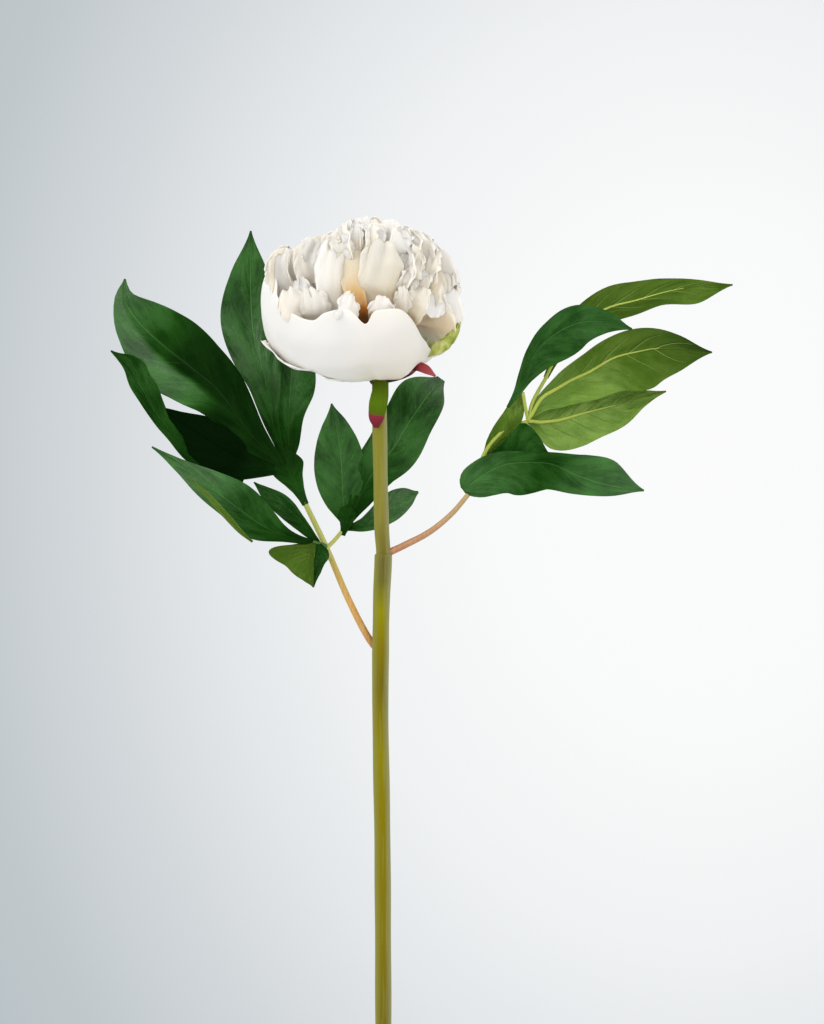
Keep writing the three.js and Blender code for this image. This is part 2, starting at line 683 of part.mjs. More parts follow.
// Sepals lie along the guard petals, up to a share of their length.
const SEPALS = [
  { tip: [26, 624, 26], bulge: 46, half: 11, cup: 40, upTo: 0.4 },
  { tip: [-12, 625, 40], bulge: 50, half: 13, cup: 42, upTo: 0.38 },
];
const SEPAL_DROP = 3.8; // how far the sepals start under the petals
const SEPAL_LAYER = 1.2;

function sepalPoint(sepal, u, v) {
  const petal = { ...sepal, wave: 0, crest: 0, layer: SEPAL_LAYER };
  return petalPoint(petal, u * Math.sqrt(1 - 0.97 * v ** 3), v * sepal.upTo);
}

function calyxBody() {
  const [x, y, z] = BLOOM.root;
  const cup = loft(
    CALYX_CUP.map(([up, radius]) =>
      Array.from({ length: 12 }, (_, side) => {
        const turn = (2 * Math.PI * side) / 12;
        return new THREE.Vector3(x + radius * Math.cos(turn), y + radius * Math.sin(turn), z + up);
      }),
    ),
  );
  const sepals = SEPALS.map((sepal) =>
    sheet((u, v) => sepalPoint(sepal, u, v), 2, 4, BLADE).translate([0, 0, -SEPAL_DROP]),
  );
  return joined([cup, ...BRACTS.map(leaflet), ...sepals]);
}

// The whole

const finish = (color, roughness, metalness = 0) =>
  new THREE.MeshStandardMaterial({ color, roughness, metalness });
const glaze = finish(0xded9cd, 0.35);
const water = finish(0xbfd3d2, 0.05);
const stemGreen = finish(0x8f8a2c, 0.5);
const leafGreen = finish(0x24502a, 0.5);
const stalkYellow = finish(0xb9b04a, 0.5);
const stalkTan = finish(0xb98a50, 0.5);
const sepalGreen = finish(0x6f8320, 0.55);
const petalWhite = finish(0xf4efe6, 0.6);

const stemGrown = stemBody(FIT_GAP);
const leftStalks = joined(LEFT_STALKS.map((line) => stalk(line)));
const leftStalksGrown = joined(LEFT_STALKS.map((line) => stalk(line, FIT_GAP)));
const leafOf = (leaflets, ribs, clear) =>
  joined([...leaflets.map(leaflet), ...ribs.map((rib) => stalk(rib))]).subtract(clear);

const peony = new THREE.Group();
peony.add(
  piece("vase", vaseBody(), glaze),
  piece("water", waterBody(), water),
  piece("stem", stemBody(), stemGreen),
  piece("left_petiole", leftStalks.subtract(stemGrown), stalkYellow),
  piece("left_leaf_upper", leafOf(LEFT_UPPER, [LEFT_RIBS.upper], leftStalksGrown), leafGreen),
  piece("left_leaf_lower", leafOf(LEFT_LOWER, [LEFT_RIBS.lower], leftStalksGrown), leafGreen),
  piece("left_leaf_inner", leafOf(LEFT_INNER, [LEFT_RIBS.inner], leftStalksGrown), leafGreen),
  piece("right_petiole", stalk(RIGHT_STALK).subtract(stemGrown), stalkTan),
  piece("right_leaf", leafOf(RIGHT_LEAF, RIGHT_RIBS, stalk(RIGHT_STALK, FIT_GAP)), leafGreen),
  piece("calyx", calyxBody().subtract(stemGrown), sepalGreen),
  piece("bloom", bloomBody().subtract(stemGrown), petalWhite),
);

export default peony;
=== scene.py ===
"""A cut double peony with two compound leaves, standing in a glazed bud vase: the looks around its frame.

Numbers are millimetres, and become metres where a mesh is made. +Z is up, and the viewer stands on the -Y
side.
"""
import math

import bpy
import numpy as np
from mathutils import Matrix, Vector


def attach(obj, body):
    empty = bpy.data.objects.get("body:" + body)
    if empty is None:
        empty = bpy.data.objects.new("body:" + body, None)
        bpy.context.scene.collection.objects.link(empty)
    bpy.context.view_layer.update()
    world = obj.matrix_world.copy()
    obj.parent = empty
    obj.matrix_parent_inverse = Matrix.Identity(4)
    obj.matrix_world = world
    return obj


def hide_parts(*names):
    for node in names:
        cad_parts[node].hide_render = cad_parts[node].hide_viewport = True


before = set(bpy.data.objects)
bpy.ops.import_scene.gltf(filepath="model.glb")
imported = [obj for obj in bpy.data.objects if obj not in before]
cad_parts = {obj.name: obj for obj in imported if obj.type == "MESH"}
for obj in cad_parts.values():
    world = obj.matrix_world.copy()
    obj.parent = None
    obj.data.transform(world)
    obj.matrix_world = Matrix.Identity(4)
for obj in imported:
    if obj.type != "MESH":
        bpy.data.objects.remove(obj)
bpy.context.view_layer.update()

MM = 0.001

# Driving dimensions. BLADE and PETAL are the thickness of a leaf and of a petal.
EYE = {"across": 15, "up": 498, "away": 1600}
BLADE = 0.55
PETAL = 0.3
STEM_LINE = [
    [0, 0.6, 9.3], [-0.2, -2.2, 172], [-0.3, -3.1, 222], [-0.8, -4.8, 320], [-1.9, -6.1, 397],
    [-1.3, -7, 451], [-0.3, -7.4, 476], [-1.1, -7.7, 489], [-2.2, -8.6, 543], [-2.4, -9.1, 573],
]
STEM = {"joint": 476, "below": 4.4, "above": 3.95, "left_root": 424, "neck": (556, 570), "neck_in": 0.6}
VASE = {
    "height": 210, "foot": 32, "belly": 39, "belly_up": 62, "shoulder": 25, "shoulder_up": 122,
    "neck": 10.6, "neck_up": 172, "lip": 13.5, "wall": 3.6, "floor": 9, "segments": 112,
}
BLOOM = {"root": [-2.4, -9.1, 571.4], "lean_left": 12, "lean_near": 12, "middle": [-12.4, -10, 612]}


# Small tools


def seen(places):
    """Front-view places [across, up, depth] as places in the part's frame."""
    across, up, depth = np.moveaxis(np.asarray(places, float), -1, 0)
    spread = 1 + depth / EYE["away"]
    x = EYE["across"] + (across - EYE["across"]) * spread
    z = EYE["up"] + (up - EYE["up"]) * spread
    return np.stack([x, depth, z], -1)


def front_view(places):
    """Where places in the part's frame lie across and up in the front view."""
    spread = 1 + places[..., 1] / EYE["away"]
    across = EYE["across"] + (places[..., 0] - EYE["across"]) / spread
    up = EYE["up"] + (places[..., 2] - EYE["up"]) / spread
    return across, up


def outline_at(line, across):
    """How high an outline of the front view stands at a place across."""
    return np.interp(across, *np.transpose(line))


def unit(vectors):
    return vectors / np.maximum(np.linalg.norm(vectors, axis=-1, keepdims=True), 1e-12)


def between(low, high, share):
    return low + (high - low) * share


def smoothstep(value, low, high):
    share = np.clip((value - low) / (high - low), 0, 1)
    return share * share * (3 - 2 * share)


def draws(seed):
    """Repeatable draws from 0 to 1."""
    state = seed
    while True:
        state = (state * 1664525 + 1013904223) % 4294967296
        yield state / 4294967296


def eased(f, start, leave, arrive, end):
    """A smooth way from start to end, as f goes from 0 to 1, that leaves and arrives at the given slopes."""
    return (
        (2 * f**3 - 3 * f**2 + 1) * start + (f**3 - 2 * f**2 + f) * leave
        + (3 * f**2 - 2 * f**3) * end + (f**3 - f**2) * arrive
    )


def blended(values, share):
    """A smooth value between evenly spaced ones."""
    values = np.asarray(values, float)
    place = np.clip(share, 0, 1) * (len(values) - 1)
    low = np.minimum(np.floor(place).astype(int), len(values) - 2)
    a, b, c, d = (values[np.clip(low + step, 0, len(values) - 1)] for step in (-1, 0, 1, 2))
    return eased(place - low, b, (c - a) / 2, (d - b) / 2, c)


def ripple(places, size, seed):
    """A smooth uneven height from about -1 to 1, with humps about size apart."""
    draw = draws(seed)
    total = 0
    for _ in range(6):
        way = unit(np.array([next(draw) - 0.5, next(draw) - 0.5, next(draw) - 0.5]))
        pitch = size * between(0.8, 1.7, next(draw))
        total = total + np.sin(2 * np.pi * (places @ way / pitch + next(draw)))
    return total / 3


class Line:
    """A smooth line through places, walked by its length from 0 to 1."""

    STEPS = 24
    LOOK = 0.01

    def __init__(self, places):
        places = np.asarray(places, float)
        ends = np.vstack([2 * places[0] - places[1], places, 2 * places[-1] - places[-2]])
        gaps = np.sqrt(np.linalg.norm(np.diff(ends, axis=0), axis=1))
        f = np.linspace(0, 1, self.STEPS, endpoint=False)[:, None]
        walked = []
        for k in range(len(places) - 1):
            p0, p1, p2, p3 = ends[k : k + 4]
            g0, g1, g2 = gaps[k : k + 3]
            leave = g1 * ((p1 - p0) / g0 - (p2 - p0) / (g0 + g1) + (p2 - p1) / g1)
            arrive = g1 * ((p2 - p1) / g1 - (p3 - p1) / (g1 + g2) + (p3 - p2) / g2)
            walked.append(eased(f, p1, leave, arrive, p2))
        self.places = np.vstack([*walked, places[-1:]])
        lengths = np.linalg.norm(np.diff(self.places, axis=0), axis=1)
        self.length = lengths.sum()
        self.shares = np.concatenate([[0], np.cumsum(lengths)]) / self.length

    def at(self, share):
        return np.stack([np.interp(share, self.shares, column) for column in self.places.T], -1)

    def way(self, share):
        return unit(self.at(np.clip(share + self.LOOK, 0, 1)) - self.at(np.clip(share - self.LOOK, 0, 1)))


def edged(count):
    """Shares from 0 to 1, with one more close to each end, so that a sheet's edge stays crisp."""
    return np.concatenate([[0, 0.012], np.linspace(0, 1, count + 1)[1:-1], [0.988, 1]])


def quads(number):
    """The four-sided faces of a grid of numbered points."""
    corners = [number[:-1, :-1], number[:-1, 1:], number[1:, 1:], number[1:, :-1]]
    return np.stack(corners, -1).reshape(-1, 4)


def marks_of(across, along):
    """The UV marks of a grid with rows along and columns across."""
    return np.stack(np.broadcast_arrays(across[None, :], along[:, None]), -1).reshape(-1, 2)


def normals(grid):
    return unit(np.cross(np.gradient(grid, axis=1), np.gradient(grid, axis=0)))


def write_values(mesh, name, values):
    """Stores a number for each point of a mesh, which materials and node trees read by its name."""
    mesh.attributes.new(name, "FLOAT", "POINT").data.foreach_set("value", np.asarray(values, np.float32))


class Skin:
    """Sheets gathered into one mesh. Its UV map gives the place across and along each sheet."""

    SEED_START = 7
    SEED_STEP = 1914

    def __init__(self):
        self.parts = []
        self.used = 0

    def take(self, places, marks, faces, slots, tone=0.0):
        self.parts.append((places, marks, faces + self.used, slots, np.broadcast_to(tone, len(places))))
        self.used += len(places)

    def sheet(self, grid, across, along, thickness, near_slot=0, far_slot=0, tone=0.0, crumple=0.0, size=10):
        """Adds a thin closed sheet. grid holds its middle surface as rows along and columns across. crumple
        is the height of its uneven humps, which stand size apart and grow towards its far end."""
        rows, columns = grid.shape[:2]
        if crumple:
            humps = ripple(grid, size, self.SEED_STEP * len(self.parts) + self.SEED_START)
            lift = crumple * humps * smoothstep(along, 0, 0.6)[:, None]
            grid = grid + normals(grid) * lift[..., None]
        half = normals(grid) * thickness / 2
        places = np.concatenate([(grid + half).reshape(-1, 3), (grid - half).reshape(-1, 3)])
        number = np.arange(rows * columns).reshape(rows, columns)
        far = quads(number)
        near = far[:, ::-1] + rows * columns
        rim = np.concatenate([number[0, :-1], number[:-1, -1], number[-1, :0:-1], number[:0:-1, 0]])
        next_on = np.roll(rim, -1)
        edge = np.stack([rim, rim + rows * columns, next_on + rows * columns, next_on], -1)
        slots = np.repeat([far_slot, near_slot, near_slot], [len(far), len(near), len(edge)])
        tones = np.tile(np.broadcast_to(tone, (rows, columns)).ravel(), 2)
        marks = np.tile(marks_of(across, along), (2, 1))
        self.take(places, marks, np.concatenate([far, near, edge]), slots, tones)

    def mesh(self, name, materials):
        places, marks, faces, slots, tones = (np.concatenate(column) for column in zip(*self.parts))
        made = bpy.data.meshes.new(name)
        made.vertices.add(len(places))
        made.vertices.foreach_set("co", (places * MM).astype(np.float32).ravel())
        made.loops.add(faces.size)
        made.loops.foreach_set("vertex_index", faces.astype(np.int32).ravel())
        made.polygons.add(len(faces))
        made.polygons.foreach_set("loop_start", np.arange(0, faces.size, 4, dtype=np.int32))
        made.polygons.foreach_set("material_index", slots.astype(np.int32))
        made.update(calc_edges=True)
        made.polygons.foreach_set("use_smooth", np.ones(len(faces), bool))
        uv = made.uv_layers.new(name="UVMap")
        uv.data.foreach_set("uv", marks[faces.ravel()].astype(np.float32).ravel())
        write_values(made, "tone", tones)
        for material in materials:
            made.materials.append(material)
        made.validate()
        return made


def stand(name, data):
    """Puts a mesh, a light or a camera into the scene."""
    made = bpy.data.objects.new(name, data)
    bpy.context.scene.collection.objects.link(made)
    return made


def piece(name, mesh, replaced=()):
    """Stands a finished mesh in the scene as a piece of the object."""
    shown = stand(name, mesh)
    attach(shown, "root")
    if replaced:
        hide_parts(*replaced)


# Materials


def linear(colour):
    """An sRGB hex colour as linear red, green, blue and alpha."""
    channels = [int(colour[k : k + 2], 16) / 255 for k in (1, 3, 5)]
    turned = [c / 12.92 if c <= 0.04045 else ((c + 0.055) / 1.055) ** 2.4 for c in channels]
    return (*turned, 1.0)


def add(tree, kind, inputs=(), stops=(), **settings):
    """Adds a node with its settings. Its inputs come in order or by name, each a number, a hex colour, a node
    or a node's output, and stops are those of a colour ramp."""
    made = tree.nodes.new(kind if "Node" in kind else "ShaderNode" + kind)
    for setting, value in settings.items():
        setattr(made, setting, value)
    for number, (place, colour) in enumerate(stops):
        if number > 1:
            made.color_ramp.elements.new(place)
        made.color_ramp.elements[number].position = place
        made.color_ramp.elements[number].color = linear(colour)
    for key, value in inputs.items() if isinstance(inputs, dict) else enumerate(inputs):
        if isinstance(value, bpy.types.Node):
            value = value.outputs[0]
        if isinstance(value, bpy.types.NodeSocket):
            tree.links.new(value, made.inputs[key])
        else:
            is_colour = isinstance(value, str) and value.startswith("#")
            made.inputs[key].default_value = linear(value) if is_colour else value
    return made


def new_material(name):
    """An empty material and its node tree."""
    material = bpy.data.materials.new(name)
    material.use_nodes = True
    material.node_tree.nodes.clear()
    return material, material.node_tree


def surfaced(material, inputs):
    """A material with its surface shader, whose inputs are patterns or values that are the same all over."""
    surface = add(material.node_tree, "BsdfPrincipled", inputs)
    add(material.node_tree, "OutputMaterial", [surface])
    return material


def own_places(tree):
    """Where a point lies on the object, and how far across and along its own sheet."""
    body = add(tree, "TexCoord").outputs["Object"]
    uv = add(tree, "UVMap", uv_map="UVMap")
    sheet = add(tree, "SeparateXYZ", [uv])
    return body, uv, sheet.outputs["X"], sheet.outputs["Y"]


def petal_cloth():
    """Thin woven petal cloth, heat-pressed: a soft white that turns cream and peach towards the root, with
    fine ribs along the petal and a little light passing through. Where the tone attribute is high the cloth
    turns deep, and its amber and brown near the root are painted shade for the hollows between petals."""
    material, tree = new_material("pressed_petal_cloth")
    body, uv, _, along = own_places(tree)
    tone = add(tree, "Attribute", attribute_name="tone").outputs["Fac"]
    mottle = add(tree, "TexNoise", {"Vector": body, "Scale": 90, "Detail": 3})
    height = add(tree, "Math", [mottle, 0.16, along], operation="MULTIPLY_ADD")
    pale = add(tree, "ValToRGB", [height], [
        (0.0, "#cfd4a6"), (0.24, "#e4ebcb"), (0.36, "#edf1dc"), (0.5, "#f2f2e9"), (0.8, "#f5f3ef"),
    ])
    # the deep cloth: the petals' own cream and peach, with amber and brown near the root painted as shade
    # between petals
    deep = add(tree, "ValToRGB", [height], [
        (0.24, "#4a2a08"), (0.33, "#a9601a"), (0.42, "#e4b478"), (0.55, "#eed7b3"), (0.75, "#e8dcc5"),
        (0.95, "#e3dccd"),
    ])
    # the tone attribute mixes in the deep cloth, partly the petals' own warmth and partly painted shade in
    # hollows
    colour = add(tree, "Mix", {0: tone, 6: pale, 7: deep}, data_type="RGBA").outputs[2]
    drawn = add(tree, "Mapping", {"Vector": uv, "Scale": (26, 2.5, 1)})
    ribs = add(tree, "TexNoise", {"Vector": drawn, "Scale": 1.0, "Detail": 4})
    bump = add(tree, "Bump", {"Height": ribs, "Strength": 0.17, "Distance": 1.2 * MM})
    return surfaced(material, {
        "Base Color": colour, "Normal": bump, "Roughness": 0.62, "Specular IOR Level": 0.25,
        "Subsurface Weight": 0.5, "Subsurface Radius": (1.0, 0.85, 0.66), "Subsurface Scale": 3 * MM,
    })


def lime_cloth():
    """The same petal cloth dyed lime, with a darker mottle and a frayed look."""
    material, tree = new_material("lime_petal_cloth")
    body = add(tree, "TexCoord").outputs["Object"]
    mottle = add(tree, "TexNoise", {"Vector": body, "Scale": 260, "Detail": 4})
    colour = add(tree, "ValToRGB", [mottle], [(0.35, "#7e8e30"), (0.5, "#9aa648"), (0.66, "#b8bc7c")])
    bump = add(tree, "Bump", {"Height": mottle, "Strength": 0.4, "Distance": 0.4 * MM})
    return surfaced(material, {
        "Base Color": colour, "Normal": bump, "Roughness": 0.6, "Subsurface Weight": 0.15,
        "Subsurface Scale": 2 * MM,
    })


SIDE_VEINS = 7
VEIN_SLANT = 0.24


def leaf_blade(name, deep, light, painted_shade, vein, groove):
    """Pressed leaf cloth with a thin latex skin: darker and duller where the tone attribute is high, which is
    painted shade. groove is how far the veins are sunk, or raised where negative."""
    material, tree = new_material(name)
    body, _, across, along = own_places(tree)
    tone = add(tree, "Attribute", attribute_name="tone").outputs["Fac"]
    side = add(tree, "Math", [across, 2.0, -1.0], operation="MULTIPLY_ADD")
    share = add(tree, "Math", [side], operation="ABSOLUTE")

    # the midrib, and side veins that slant towards the tip and fade towards the edge
    slant = add(tree, "Math", [share, -VEIN_SLANT, along], operation="MULTIPLY_ADD")
    phase = add(tree, "Math", [slant, float(SIDE_VEINS)], operation="MULTIPLY")
    off = add(tree, "Math", [phase, 0.5], operation="PINGPONG")
    line = add(tree, "MapRange", [off, 0.0, 0.05, 0.5, 0.0], interpolation_type="SMOOTHSTEP")
    fade = add(tree, "MapRange", [share, 0.3, 0.85, 1.0, 0.0])
    side_veins = add(tree, "Math", [line, fade], operation="MULTIPLY")
    midrib = add(tree, "MapRange", [share, 0.01, 0.05, 1.0, 0.0], interpolation_type="SMOOTHSTEP")
    veins = add(tree, "Math", [side_veins, midrib], operation="MAXIMUM")

    # blotches all over, and creases that lie along the side veins; the creases also lighten and darken the
    # colour
    #     along the folds they raise, painted light and shade, while the blotches are the leaf's own mottle
    blotches = add(tree, "TexNoise", {"Vector": body, "Scale": 48, "Detail": 5})
    up = add(tree, "SeparateXYZ", [body]).outputs["Z"]
    laid = [
        add(tree, "Math", [value, scale], operation="MULTIPLY")
        for value, scale in [(slant, 9.0), (side, 1.6), (up, 16.0)]
    ]
    lay = add(tree, "CombineXYZ", laid)
    creases = add(tree, "TexNoise", {"Vector": lay, "Scale": 1.0, "Detail": 4, "Roughness": 0.6})
    cloud = add(tree, "Mix", {0: 0.45, 2: blotches, 3: creases})

    blade = add(tree, "ValToRGB", [cloud], [(0.41, deep), (0.59, light)])
    show = add(tree, "Math", [veins, 0.6], operation="MULTIPLY")
    veined = add(tree, "Mix", {0: show, 6: blade, 7: vein}, data_type="RGBA").outputs[2]
    # painted shade: the tone attribute turns the blade towards a near-black green
    colour = add(tree, "Mix", {0: tone, 6: veined, 7: painted_shade}, data_type="RGBA").outputs[2]
    grain = add(tree, "TexNoise", {"Vector": body, "Scale": 170, "Detail": 4, "Distortion": 0.6})
    relief = add(tree, "Math", [veins, -groove, grain], operation="MULTIPLY_ADD")
    relief = add(tree, "Math", [creases, 1.6, relief], operation="MULTIPLY_ADD")
    bump = add(tree, "Bump", {"Height": relief, "Strength": 0.75, "Distance": 1.6 * MM})
    patches = add(tree, "Math", [cloud, tone], operation="SUBTRACT")
    sheen = add(tree, "MapRange", [patches, 0.0, 1.0, 0.01, 0.55])
    return surfaced(material, {
        "Base Color": colour, "Normal": bump, "Specular IOR Level": sheen, "Roughness": 0.38,
    })


# How streaks lie on a thin stalk and on the thick stem: their noise's scale, where they start and are full,
# how strong they are, and the strength and height of their ridges.
THIN_STALK = dict(scale=(900, 900, 45), start=0.4, full=0.75, most=0.4, ridge=0.35, high=0.4, surface={
    "Roughness": 0.42, "Specular IOR Level": 0.45, "Subsurface Weight": 0.06, "Subsurface Scale": MM,
})
THICK_STEM = dict(scale=(700, 700, 30), start=0.5, full=0.8, most=0.5, ridge=0.2, high=0.3, surface={
    "Roughness": 0.45, "Specular IOR Level": 0.06,
})


def moulded_skin(name, low, high, streak, stops, look=THIN_STALK, edges=()):
    """A moulded stalk skin whose colour changes between a low and a high end, in millimetres of height, with
    streaks along it. edges are paler colours painted along its left and right sides, where its across
    attribute nears -1 and 1: a painted sheen on the sides that turn away from the front."""
    material, tree = new_material(name)
    body = add(tree, "TexCoord").outputs["Object"]
    up = add(tree, "SeparateXYZ", [body]).outputs["Z"]
    colour = add(tree, "ValToRGB", [add(tree, "MapRange", [up, low * MM, high * MM])], stops)
    drawn = add(tree, "Mapping", {"Vector": body, "Scale": look["scale"]})
    streaks = add(tree, "TexNoise", {"Vector": drawn, "Scale": 1.0, "Detail": 3})
    if edges:
        across = add(tree, "Attribute", attribute_name="across").outputs["Fac"]
        wander = add(tree, "Math", [streaks, 0.5, across], operation="MULTIPLY_ADD")
    # painted sheen: paler colours towards the left and right sides, as the across attribute says
    for edge, start, full in zip(edges, (0.0, 0.5), (-0.65, 1.15)):
        painted_edge_sheen = add(tree, "MapRange", [wander, start, full])
        colour = add(tree, "Mix", {0: painted_edge_sheen, 6: colour, 7: edge}, data_type="RGBA").outputs[2]
    strength = add(tree, "MapRange", [streaks, look["start"], look["full"], 0.0, look["most"]])
    colour = add(tree, "Mix", {0: strength, 6: colour, 7: streak}, data_type="RGBA").outputs[2]
    bump = add(tree, "Bump", {"Height": streaks, "Strength": look["ridge"], "Distance": look["high"] * MM})
    return surfaced(material, {"Base Color": colour, "Normal": bump, **look["surface"]})


def sepal_skin(name, stops):
    """A leathery sepal whose colour changes along it, with fine lengthwise ribs."""
    material, tree = new_material(name)
    body, _, across, along = own_places(tree)
    mottle = add(tree, "TexNoise", {"Vector": body, "Scale": 380, "Detail": 3})
    uneven = add(tree, "Math", [mottle, 0.1, along], operation="MULTIPLY_ADD")
    colour = add(tree, "ValToRGB", [uneven], stops)
    fan = add(tree, "Math", [across, 44.0], operation="MULTIPLY")
    ribs = add(tree, "Math", [fan], operation="SINE")
    bump = add(tree, "Bump", {"Height": ribs, "Strength": 0.3, "Distance": 0.3 * MM})
    return surfaced(material, {
        "Base Color": colour, "Normal": bump, "Roughness": 0.48, "Specular IOR Level": 0.07,
    })


def stoneware_glaze():
    """Wheel-thrown stoneware under a satin warm-white glaze: fine iron speckle, a warm edge where the glaze
    thins at the lip, and a bare clay band at the foot."""
    material, tree = new_material("satin_glazed_stoneware")
    body = add(tree, "TexCoord").outputs["Object"]
    up = add(tree, "SeparateXYZ", [body]).outputs["Z"]
    cloud = add(tree, "TexNoise", {"Vector": body, "Scale": 38, "Detail": 4})
    colour = add(tree, "ValToRGB", [cloud], [(0.3, "#dcd6ca"), (0.7, "#ebe6dc")])
    spots = add(tree, "TexVoronoi", {"Vector": body, "Scale": 210, "Randomness": 1.0})
    speckle = add(tree, "MapRange", [spots, 0.06, 0.16, 0.75, 0.0])
    lip = add(tree, "MapRange", [up, 207.5 * MM, 209.8 * MM, 0.0, 0.7])
    wander = add(tree, "Math", [cloud, 4 * MM, up], operation="MULTIPLY_ADD")
    foot = add(tree, "MapRange", [wander, 6.2 * MM, 6.8 * MM, 1.0, 0.0])
    for share, shade in [(speckle, "#8f7453"), (lip, "#b08a62"), (foot, "#b59a7b")]:
        colour = add(tree, "Mix", {0: share, 6: colour, 7: shade}, data_type="RGBA").outputs[2]
    rough = add(tree, "MapRange", [foot, 0.0, 1.0, 0.3, 0.85])
    rings = add(tree, "Math", [up, 1.4 / MM], operation="MULTIPLY")
    thrown = add(tree, "Math", [rings], operation="SINE")
    relief = add(tree, "Math", [thrown, 0.2, cloud], operation="MULTIPLY_ADD")
    bump = add(tree, "Bump", {"Height": relief, "Strength": 0.25, "Distance": 0.6 * MM})
    return surfaced(material, {
        "Base Color": colour, "Normal": bump, "Roughness": rough, "Coat Weight": 0.25, "Coat Roughness": 0.12,
    })


def still_water():
    """Clear still water, faintly green from the stem, with slight ripples."""
    material, tree = new_material("still_water")
    body = add(tree, "TexCoord").outputs["Object"]
    stir = add(tree, "TexNoise", {"Vector": body, "Scale": 60, "Detail": 1})
    tint = add(tree, "ValToRGB", [stir], [(0.3, "#e3efe6"), (0.7, "#f0f6f2")])
    bump = add(tree, "Bump", {"Height": stir, "Strength": 0.05, "Distance": 0.5 * MM})
    return surfaced(material, {
        "Base Color": tint, "Normal": bump, "Roughness": 0.02, "IOR": 1.333, "Transmission Weight": 1.0,
    })


petal_white = petal_cloth()
petal_lime = lime_cloth()
leaf_top = leaf_blade("pressed_leaf_top", "#19430f", "#2e661f", "#041603", "#4f8440", 0.3)
leaf_under = leaf_blade("pressed_leaf_underside", "#577a22", "#769838", "#1f3410", "#7f9a44", -0.8)
rib_lime = moulded_skin("moulded_lime_rib", 455, 640, "#8a9838", [(0.0, "#98a83c"), (1.0, "#a6b54c")])
vein_dull = moulded_skin("raised_leaf_vein", 455, 640, "#577526", [(0.0, "#63832c"), (1.0, "#6d8c34")])
stalk_green = moulded_skin("dark_green_stalk", 478, 525, "#1f4a18", [(0.0, "#3f6420"), (1.0, "#2b5c20")])
# the stem's paler edges are a painted sheen along its left and right sides
stem_olive = moulded_skin(
    "moulded_olive_stem", 0, 588, "#8c8c40",
    [
        (0.0, "#665a08"), (0.37, "#665a08"), (0.46, "#75690a"), (0.55, "#786c04"), (0.63, "#7e7606"),
        (0.69, "#675c0a"), (0.725, "#766a04"), (0.757, "#837f00"), (0.785, "#615f22"), (0.80, "#5c562a"),
        (0.8065, "#5c562a"), (0.8075, "#665f24"), (0.84, "#78722e"), (0.90, "#7b7729"), (0.95, "#7c7c2b"),
    ],
    THICK_STEM, edges=("#80803a", "#87875a"),
)
left_stalk_skin = moulded_skin(
    "moulded_yellow_stalk", 421, 505, "#cdbb7c",
    [(0.0, "#9c6126"), (0.3, "#bb8a3c"), (0.55, "#bda04c"), (0.7, "#aeb35c"), (1.0, "#a6b357")],
)
right_stalk_skin = moulded_skin(
    "moulded_tan_stalk", 476, 510, "#c4a888", [(0.0, "#a56c46"), (0.5, "#ab835a"), (1.0, "#a5935a")],
)
# dark crimson along most of the sepal is painted shade where it lies under the bowl; the red at its tip is
# its own colour
sepal_crimson = sepal_skin("crimson_sepal", [
    (0.0, "#2c0a10"), (0.68, "#3f0c16"), (0.77, "#8a3038"), (1.0, "#9c4c50"),
])
bract_green = sepal_skin("green_bract", [
    (0.0, "#455604"), (0.5, "#4f6c02"), (0.76, "#4a6003"), (0.79, "#7e2836"), (1.0, "#6a1f2b"),
])
glaze = stoneware_glaze()
water = still_water()


# Round stalks along lines, made by a node tree


def node_group(name, inputs, output):
    """An empty tree of geometry nodes with its named inputs and its output."""
    tree = bpy.data.node_groups.new(name, "GeometryNodeTree")
    for title, kind in inputs.items():
        tree.interface.new_socket(title, in_out="INPUT", socket_type="NodeSocket" + kind)
    tree.interface.new_socket(output, in_out="OUTPUT", socket_type="NodeSocketGeometry")
    return tree, add(tree, "NodeGroupInput").outputs


def stalk_tree():
    """A tree that turns chains of edges into round stalks, as thick as each point's thick value says."""
    tree, given = node_group(
        "Round stalks", {"Chains": "Geometry", "Sides": "Int", "Skin": "Material"}, "Stalks"
    )
    thick = add(tree, "GeometryNodeInputNamedAttribute", {"Name": "thick"}, data_type="FLOAT")
    curves = add(tree, "GeometryNodeMeshToCurve", {"Mesh": given["Chains"]})
    ring = add(tree, "GeometryNodeCurvePrimitiveCircle", {"Resolution": given["Sides"], "Radius": 1.0})
    swept = add(tree, "GeometryNodeCurveToMesh", {
        "Curve": curves, "Profile Curve": ring, "Scale": thick, "Fill Caps": True,
    })
    smooth = add(tree, "GeometryNodeSetShadeSmooth", {"Geometry": swept})
    whole = add(tree, "GeometryNodeRealizeInstances", {"Geometry": smooth})
    worn = add(tree, "GeometryNodeSetMaterial", {"Geometry": whole, "Material": given["Skin"]})
    add(tree, "NodeGroupOutput", [worn])
    return tree


def grown(name, mesh, tree, values, thickness=0):
    """The plain mesh that a node tree makes of a mesh, with the tree's inputs set by name."""
    host = stand(name + "_host", mesh)
    nodes = host.modifiers.new("grown", "NODES")
    nodes.node_group = tree
    for item in tree.interface.items_tree:
        if item.item_type == "SOCKET" and item.in_out == "INPUT" and item.name in values:
            nodes[item.identifier] = values[item.name]
    if thickness:
        wall = host.modifiers.new("wall", "SOLIDIFY")
        wall.thickness = thickness * MM
        wall.offset = 0
    bpy.context.view_layer.update()
    graph = bpy.context.evaluated_depsgraph_get()
    made = bpy.data.meshes.new_from_object(host.evaluated_get(graph), depsgraph=graph)
    made.name = name
    host.modifiers.clear()
    bpy.data.objects.remove(host)
    return made


STALK_TREE = stalk_tree()


def stalks(name, lines, sides, skin):
    """Round stalks along lines. Each line is (places, radii)."""
    places, radii = (np.concatenate(column) * MM for column in zip(*lines))
    ends = np.cumsum([len(line) for line, _ in lines])
    edges = [(k, k + 1) for k in range(len(places) - 1) if k + 1 not in ends]
    chains = bpy.data.meshes.new(name + "_chains")
    chains.from_pydata(places.tolist(), edges, [])
    write_values(chains, "thick", radii)
    return grown(name, chains, STALK_TREE, {"Sides": sides, "Skin": skin})
